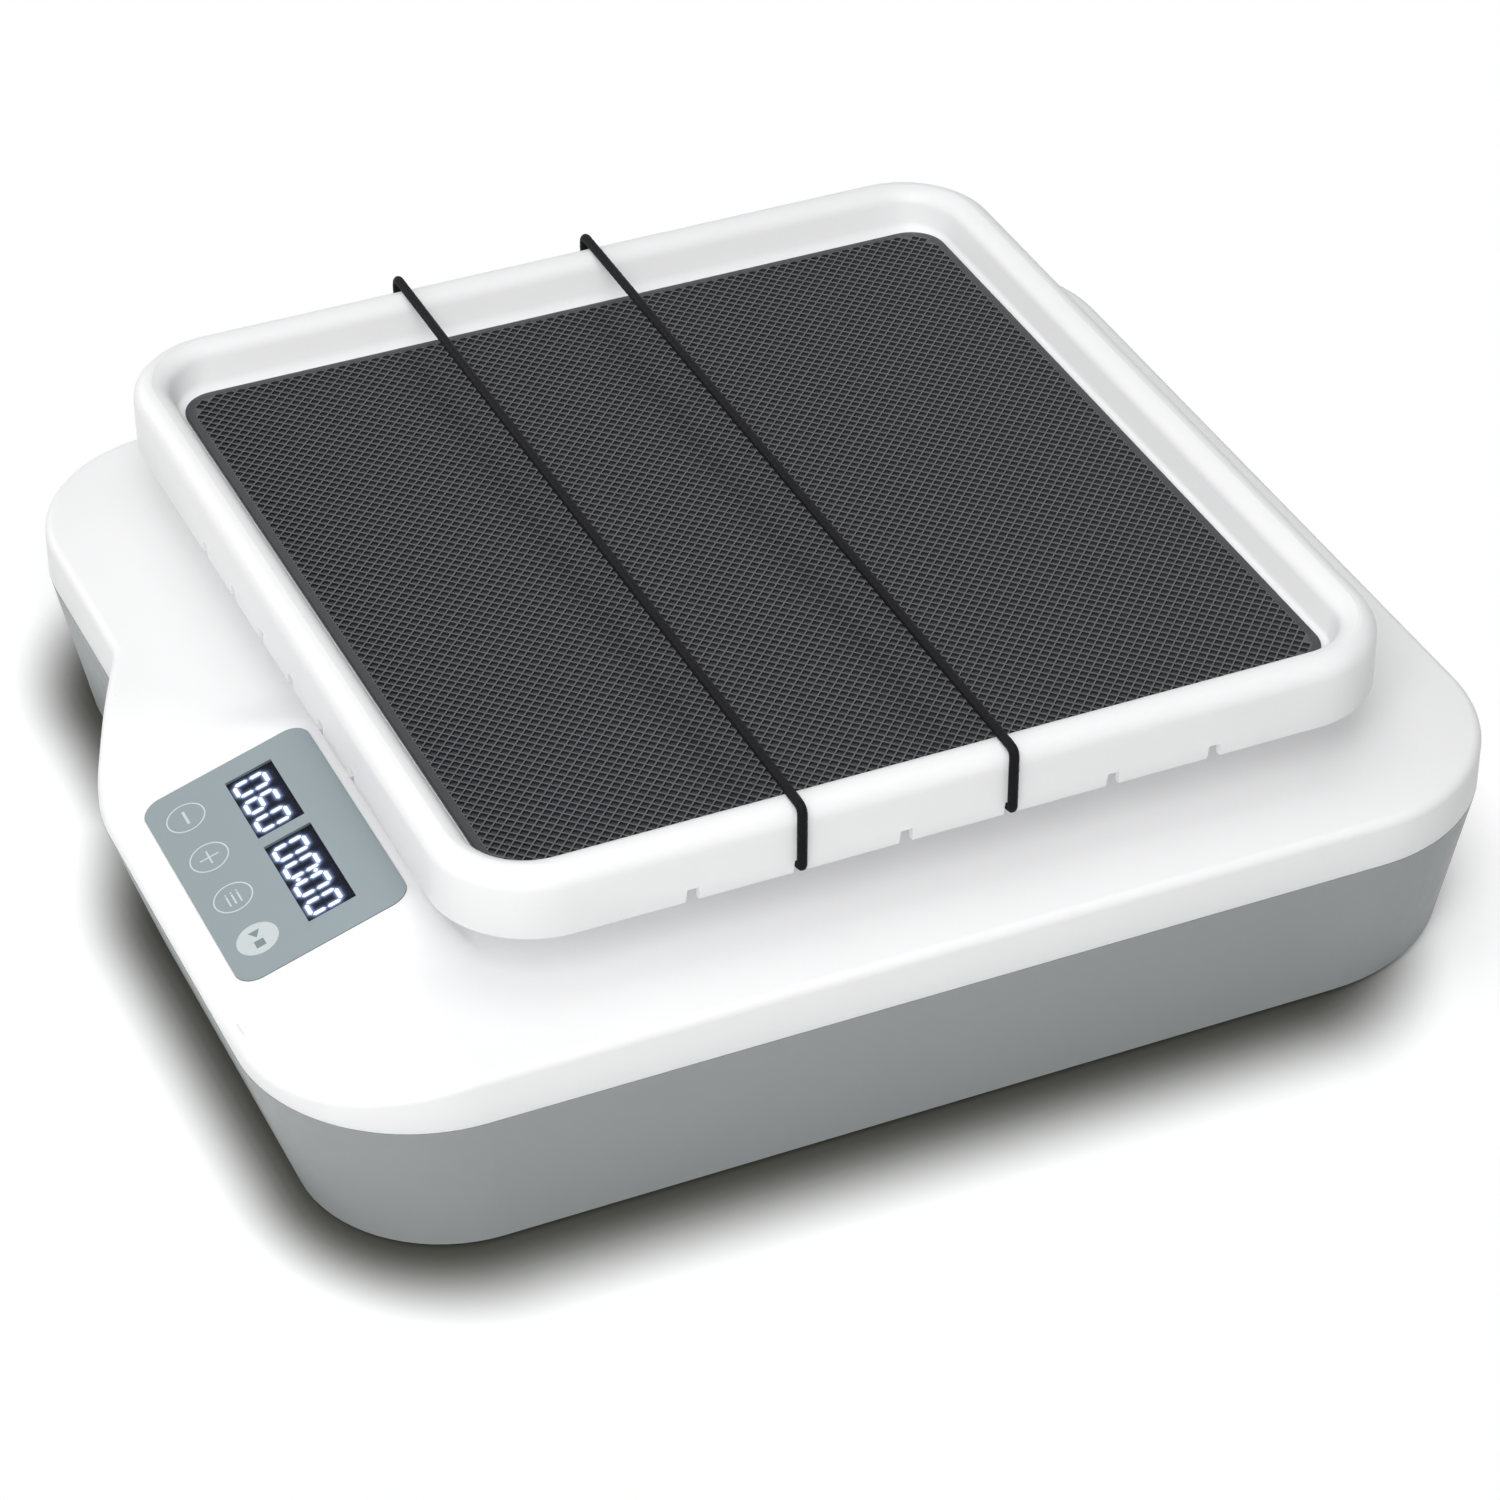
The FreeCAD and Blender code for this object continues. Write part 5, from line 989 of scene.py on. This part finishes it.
def mat():
    """The rubber mat: its wall, its hem, the ridges as one flat net, and the cells sunk between them."""
    low, top = TRAY_FLOOR_TOP, TRAY_FLOOR_TOP + MAT_THICKNESS
    hem_top, bulge = top - HEM_DROP, MAT_EDGE * MAT_BULGE
    rows = ((0.0, low), (0.0, hem_top - MAT_EDGE), (bulge, hem_top - bulge), (MAT_EDGE, hem_top))
    points, faces = loft_rings([[Vector((*p, level)) for p in mat_outline(inset)] for inset, level in rows])
    count = len(points) // len(rows)
    faces.append(tuple(range(count))[::-1])
    hem, cells = mat_outline(HEM_INSET, HEM_GAP), mat_cells()
    flat = [point.xy for point in points[-count:]] + hem
    edges = closed(0, count) + closed(count, len(hem))
    first_cell = len(flat)
    owner, starts = {}, []
    for number, (rim, _) in enumerate(cells):
        starts.append(len(flat))
        owner.update((len(flat) + k, number) for k in range(len(rim)))
        edges += closed(len(flat), len(rim))
        flat += rim
    net = flat_net(points, count, flat, edges, MAT_TOLERANCE, lambda k: top if k >= first_cell else hem_top)
    triangles, _, origin, index, point_of = net
    # A triangle whose corners are all on one cell's rim would close that cell
    for triangle in triangles:
        if len({owner.get(origin[k][0], -1 - k) for k in triangle}) > 1:
            faces.append(tuple(index[k] for k in triangle))
    for start, (rim, bottom) in zip(starts, cells):
        n, base = len(rim), len(points)
        points += [Vector((*p, top - CELL_DEPTH)) for p in bottom]
        faces += [(point_of[start + i], point_of[start + j], base + j, base + i) for i, j in closed(0, n)]
        faces.append(tuple(range(base, base + n)))
    shifted = [p + Vector((0.0, TRAY_SHIFT, 0.0)) for p in points]
    piece = mesh_object("diamond_mat", shifted, faces, "carriage", MAT_CREASE)
    face_outwards(piece.data)
    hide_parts("tray_mat")
    return piece


# Elastic cords

CORD_ROWS = {"front_cord": -39.55, "rear_cord": 25.45}
# The cord's route over the right half of the tray: ferrule, notch, outer wall, rim, middle
CORD_ROUTE = ((144.9, 94.2), (149.5, 94.2), (152.6, 94.2), (155.4, 94.2), (155.4, 97.0), (155.4, 100.5),
              (155.4, 104.5), (155.4, 109.2), (155.4, 114.6), (150.0, 114.6), (145.0, 114.6), (120.0, 114.6),
              (80.0, 114.6), (40.0, 114.6))
CORD_SIDES, CORD_STEP, CORD_CREASE = 20, 0.45, 60
BRAID_PITCH, BRAID_HEIGHT, BRAID_STRANDS = 3.2, 0.07, 8


def route_points(row):
    """The middle line of a cord, read from its NURBS curve."""
    half = [Vector((x, row, z)) for x, z in CORD_ROUTE]
    control = half + [Vector((0.0, row, half[-1].z))] + [Vector((-p.x, p.y, p.z)) for p in reversed(half)]
    curve = bpy.data.curves.new("route", "CURVE")
    curve.dimensions = "3D"
    spline = curve.splines.new("NURBS")
    spline.points.add(len(control) - 1)
    for point, place in zip(spline.points, control):
        point.co = (*(place * MM), 1.0)
    spline.order_u = 3
    spline.use_endpoint_u = True
    spline.resolution_u = 12
    holder = link("route", curve)
    bpy.context.view_layer.update()
    mesh = bpy.data.meshes.new_from_object(holder)
    places = [v.co / MM for v in mesh.vertices]
    bpy.data.objects.remove(holder)
    return places


def resample(places, step):
    """The same line with points an even step apart."""
    result, left = [places[0]], step
    for a, b in zip(places, places[1:]):
        length = (b - a).length
        while left <= length:
            result.append(a.lerp(b, left / length))
            left += step
        left -= length
    result.append(places[-1])
    return result


def braided_cord(name, row):
    """A cord whose braided strands wind both ways and stand out where they pass on top."""
    line = resample(route_points(row), CORD_STEP)
    rings = []
    across = Vector((0.0, 1.0, 0.0))
    for k, place in enumerate(line):
        ahead = (line[min(k + 1, len(line) - 1)] - line[max(k - 1, 0)]).normalized()
        up = ahead.cross(across).normalized()
        run = math.tau * k * CORD_STEP / BRAID_PITCH
        ring = []
        for i in range(CORD_SIDES):
            angle = math.tau * i / CORD_SIDES
            strand = BRAID_STRANDS / 2 * angle
            over = max(math.cos(strand + run), math.cos(strand - run))
            radius = CORD_RADIUS - BRAID_HEIGHT * (1 - over)
            ring.append(place + (across * math.cos(angle) + up * math.sin(angle)) * radius)
        rings.append(ring)
    piece = mesh_object(name + "_braid", *block(rings), "carriage", CORD_CREASE)
    face_outwards(piece.data)
    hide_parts(name)
    return piece


# Printed signs, key edges and the light of the digits

KEY_X, KEY_PITCH, KEY_Y = PANEL_LEFT + 13.5, 20.7, PANEL_SETBACK + 10.6
KEY_RADIUS, KEY_GAP, FILM_LAP = 6.4, 0.12, 0.01
RING_RADIUS, RING_WIDTH, RING_STEPS = 6.1, 0.45, 72
PRINT_HEIGHT, FILM_HEIGHT = 0.02, 0.04
# Signs: their size, and the widths of thin and of bold lines
SIGN, THIN, BOLD = 6.0, 0.5, 0.85
# The mode key's lines: their pitch, length, and places of the lines and of their dots
LINE_PITCH, LINE, LINE_SHIFT, DOT_SHIFT = 1.75, SIGN * 0.75, 0.8, -SIGN * 0.375
# The start key's triangle and square: places beside its middle, half size, and the triangle's rise
PLAY_SHIFT, STOP_SHIFT, PLAY_HALF = -2.1, 2.2, 1.5
PLAY_RISE = 1.2 * PLAY_HALF


def printed(name, shapes, body, height=PRINT_HEIGHT, level=PANEL_PROUD):
    """Thin flat shapes on the console, each a closed loop of (x, y) places."""
    points, faces = [], []
    for shape in shapes:
        faces.append(tuple(range(len(points), len(points) + len(shape))))
        points += [panel_place(x, y, -level) for x, y in shape]
    piece = mesh_object(name, points, faces, body)
    thick = piece.modifiers.new("thick", "SOLIDIFY")
    thick.thickness = height * MM
    thick.offset = 1.0
    return piece


def annulus(x, y, inner, outer):
    """A ring as a row of four-sided shapes."""
    def spot(radius, k):
        angle = math.tau * k / RING_STEPS
        return x + radius * math.cos(angle), y + radius * math.sin(angle)
    return [(spot(inner, k), spot(outer, k), spot(outer, k + 1), spot(inner, k + 1))
            for k in range(RING_STEPS)]


def bar(x, y, width, height):
    left, right, low, high = x - width / 2, x + width / 2, y - height / 2, y + height / 2
    return [(left, low), (right, low), (right, high), (left, high)]


def key_signs(materials):
    """A ring and a plain sign on the minus, plus and mode keys, a triangle and a square on the start key, and
    the film that bridges the gap round each key.
    """
    places = {key: KEY_X + i * KEY_PITCH for i, key in enumerate(("minus", "plus", "mode", "start"))}
    minus, plus, mode, start = places.values()
    arm, reach = (SIGN - THIN) / 2, (SIGN + THIN) / 4
    signs = {
        "minus": [bar(minus, KEY_Y, SIGN, BOLD)],
        "plus": [bar(plus, KEY_Y, SIGN, THIN), bar(plus, KEY_Y + reach, THIN, arm),
                 bar(plus, KEY_Y - reach, THIN, arm)],
        "mode": [bar(mode + shift, KEY_Y + k * LINE_PITCH, length, THIN)
                 for shift, length in ((LINE_SHIFT, LINE), (DOT_SHIFT, THIN)) for k in (-1, 0, 1)],
    }
    for key, shapes in signs.items():
        ring = annulus(places[key], KEY_Y, RING_RADIUS - RING_WIDTH, RING_RADIUS)
        paint(printed(key + "_sign", ring + shapes, key), materials["white_print"])
    play, stop = start + PLAY_SHIFT, start + STOP_SHIFT
    triangle = [(play - PLAY_HALF, KEY_Y - PLAY_RISE), (play + PLAY_HALF, KEY_Y),
                (play - PLAY_HALF, KEY_Y + PLAY_RISE)]
    square = bar(stop, KEY_Y, 2 * PLAY_HALF, 2 * PLAY_HALF)
    paint(printed("start_sign", [triangle, square], "start_stop"), materials["grey_print"])
    films = []
    for key in places:
        films += annulus(places[key], KEY_Y, KEY_RADIUS + FILM_LAP, KEY_RADIUS + KEY_GAP - FILM_LAP / 2)
    paint(printed("key_films", films, "housing", FILM_HEIGHT, PANEL_PROUD - FILM_HEIGHT),
          materials["panel_overlay"])


WINDOW_Y, WINDOW_HEIGHT = PANEL_SETBACK + 25.4, 15.2
WINDOWS = {"speed": (PANEL_LEFT + 8.3, 29.2), "timer": (PANEL_LEFT + 42.0, 37.9)}
GLOW_DEPTH, GLOW_CELL = 0.66, 0.3
# Strength and reach of the glow close to a stroke, and of the faint one round it
GLOW_NEAR, GLOW_FAR = (1.3, 0.35), (0.03, 1.6)


def glow_strength(away):
    """How strongly a place glows, from its distance to the nearest stroke."""
    return min(1.0, sum(strength * math.exp(-away / reach) for strength, reach in (GLOW_NEAR, GLOW_FAR)))


def digit_glow(name, left, width, material):
    """A fine sheet behind the window that glows near the strokes of the digits."""
    mesh = nodes[name + "_digits"].data
    strokes = BVHTree.FromPolygons([v.co / MM for v in mesh.vertices], [p.vertices for p in mesh.polygons])
    across, up = round(width / GLOW_CELL), round(WINDOW_HEIGHT / GLOW_CELL)
    points = [panel_place(left + width * i / across, WINDOW_Y + WINDOW_HEIGHT * j / up, GLOW_DEPTH)
              for j in range(up + 1) for i in range(across + 1)]
    piece = mesh_object(name + "_glow", points, grid_cells(across + 1, up + 1), "housing")
    glow = [glow_strength(strokes.find_nearest(place)[3]) for place in points]
    piece.data.attributes.new("glow", "FLOAT", "POINT").data.foreach_set("value", glow)
    paint(piece, material)


camera()
world()
floor()
for lamp_name, lamp_values in LAMPS.items():
    lamp(lamp_name, *lamp_values)
materials = make_materials()
paint_nodes(materials)
paint(cover(), materials["white_abs"])
paint(tray(), materials["tray_abs"])
paint(mat(), materials["mat_rubber"])
for cord in CORD_ROWS.items():
    paint(braided_cord(*cord), materials["elastic_sleeve"])
key_signs(materials)
for window, span in WINDOWS.items():
    digit_glow(window, *span, materials["stroke_glow"])

bpy.context.scene.view_settings.view_transform = "Standard"
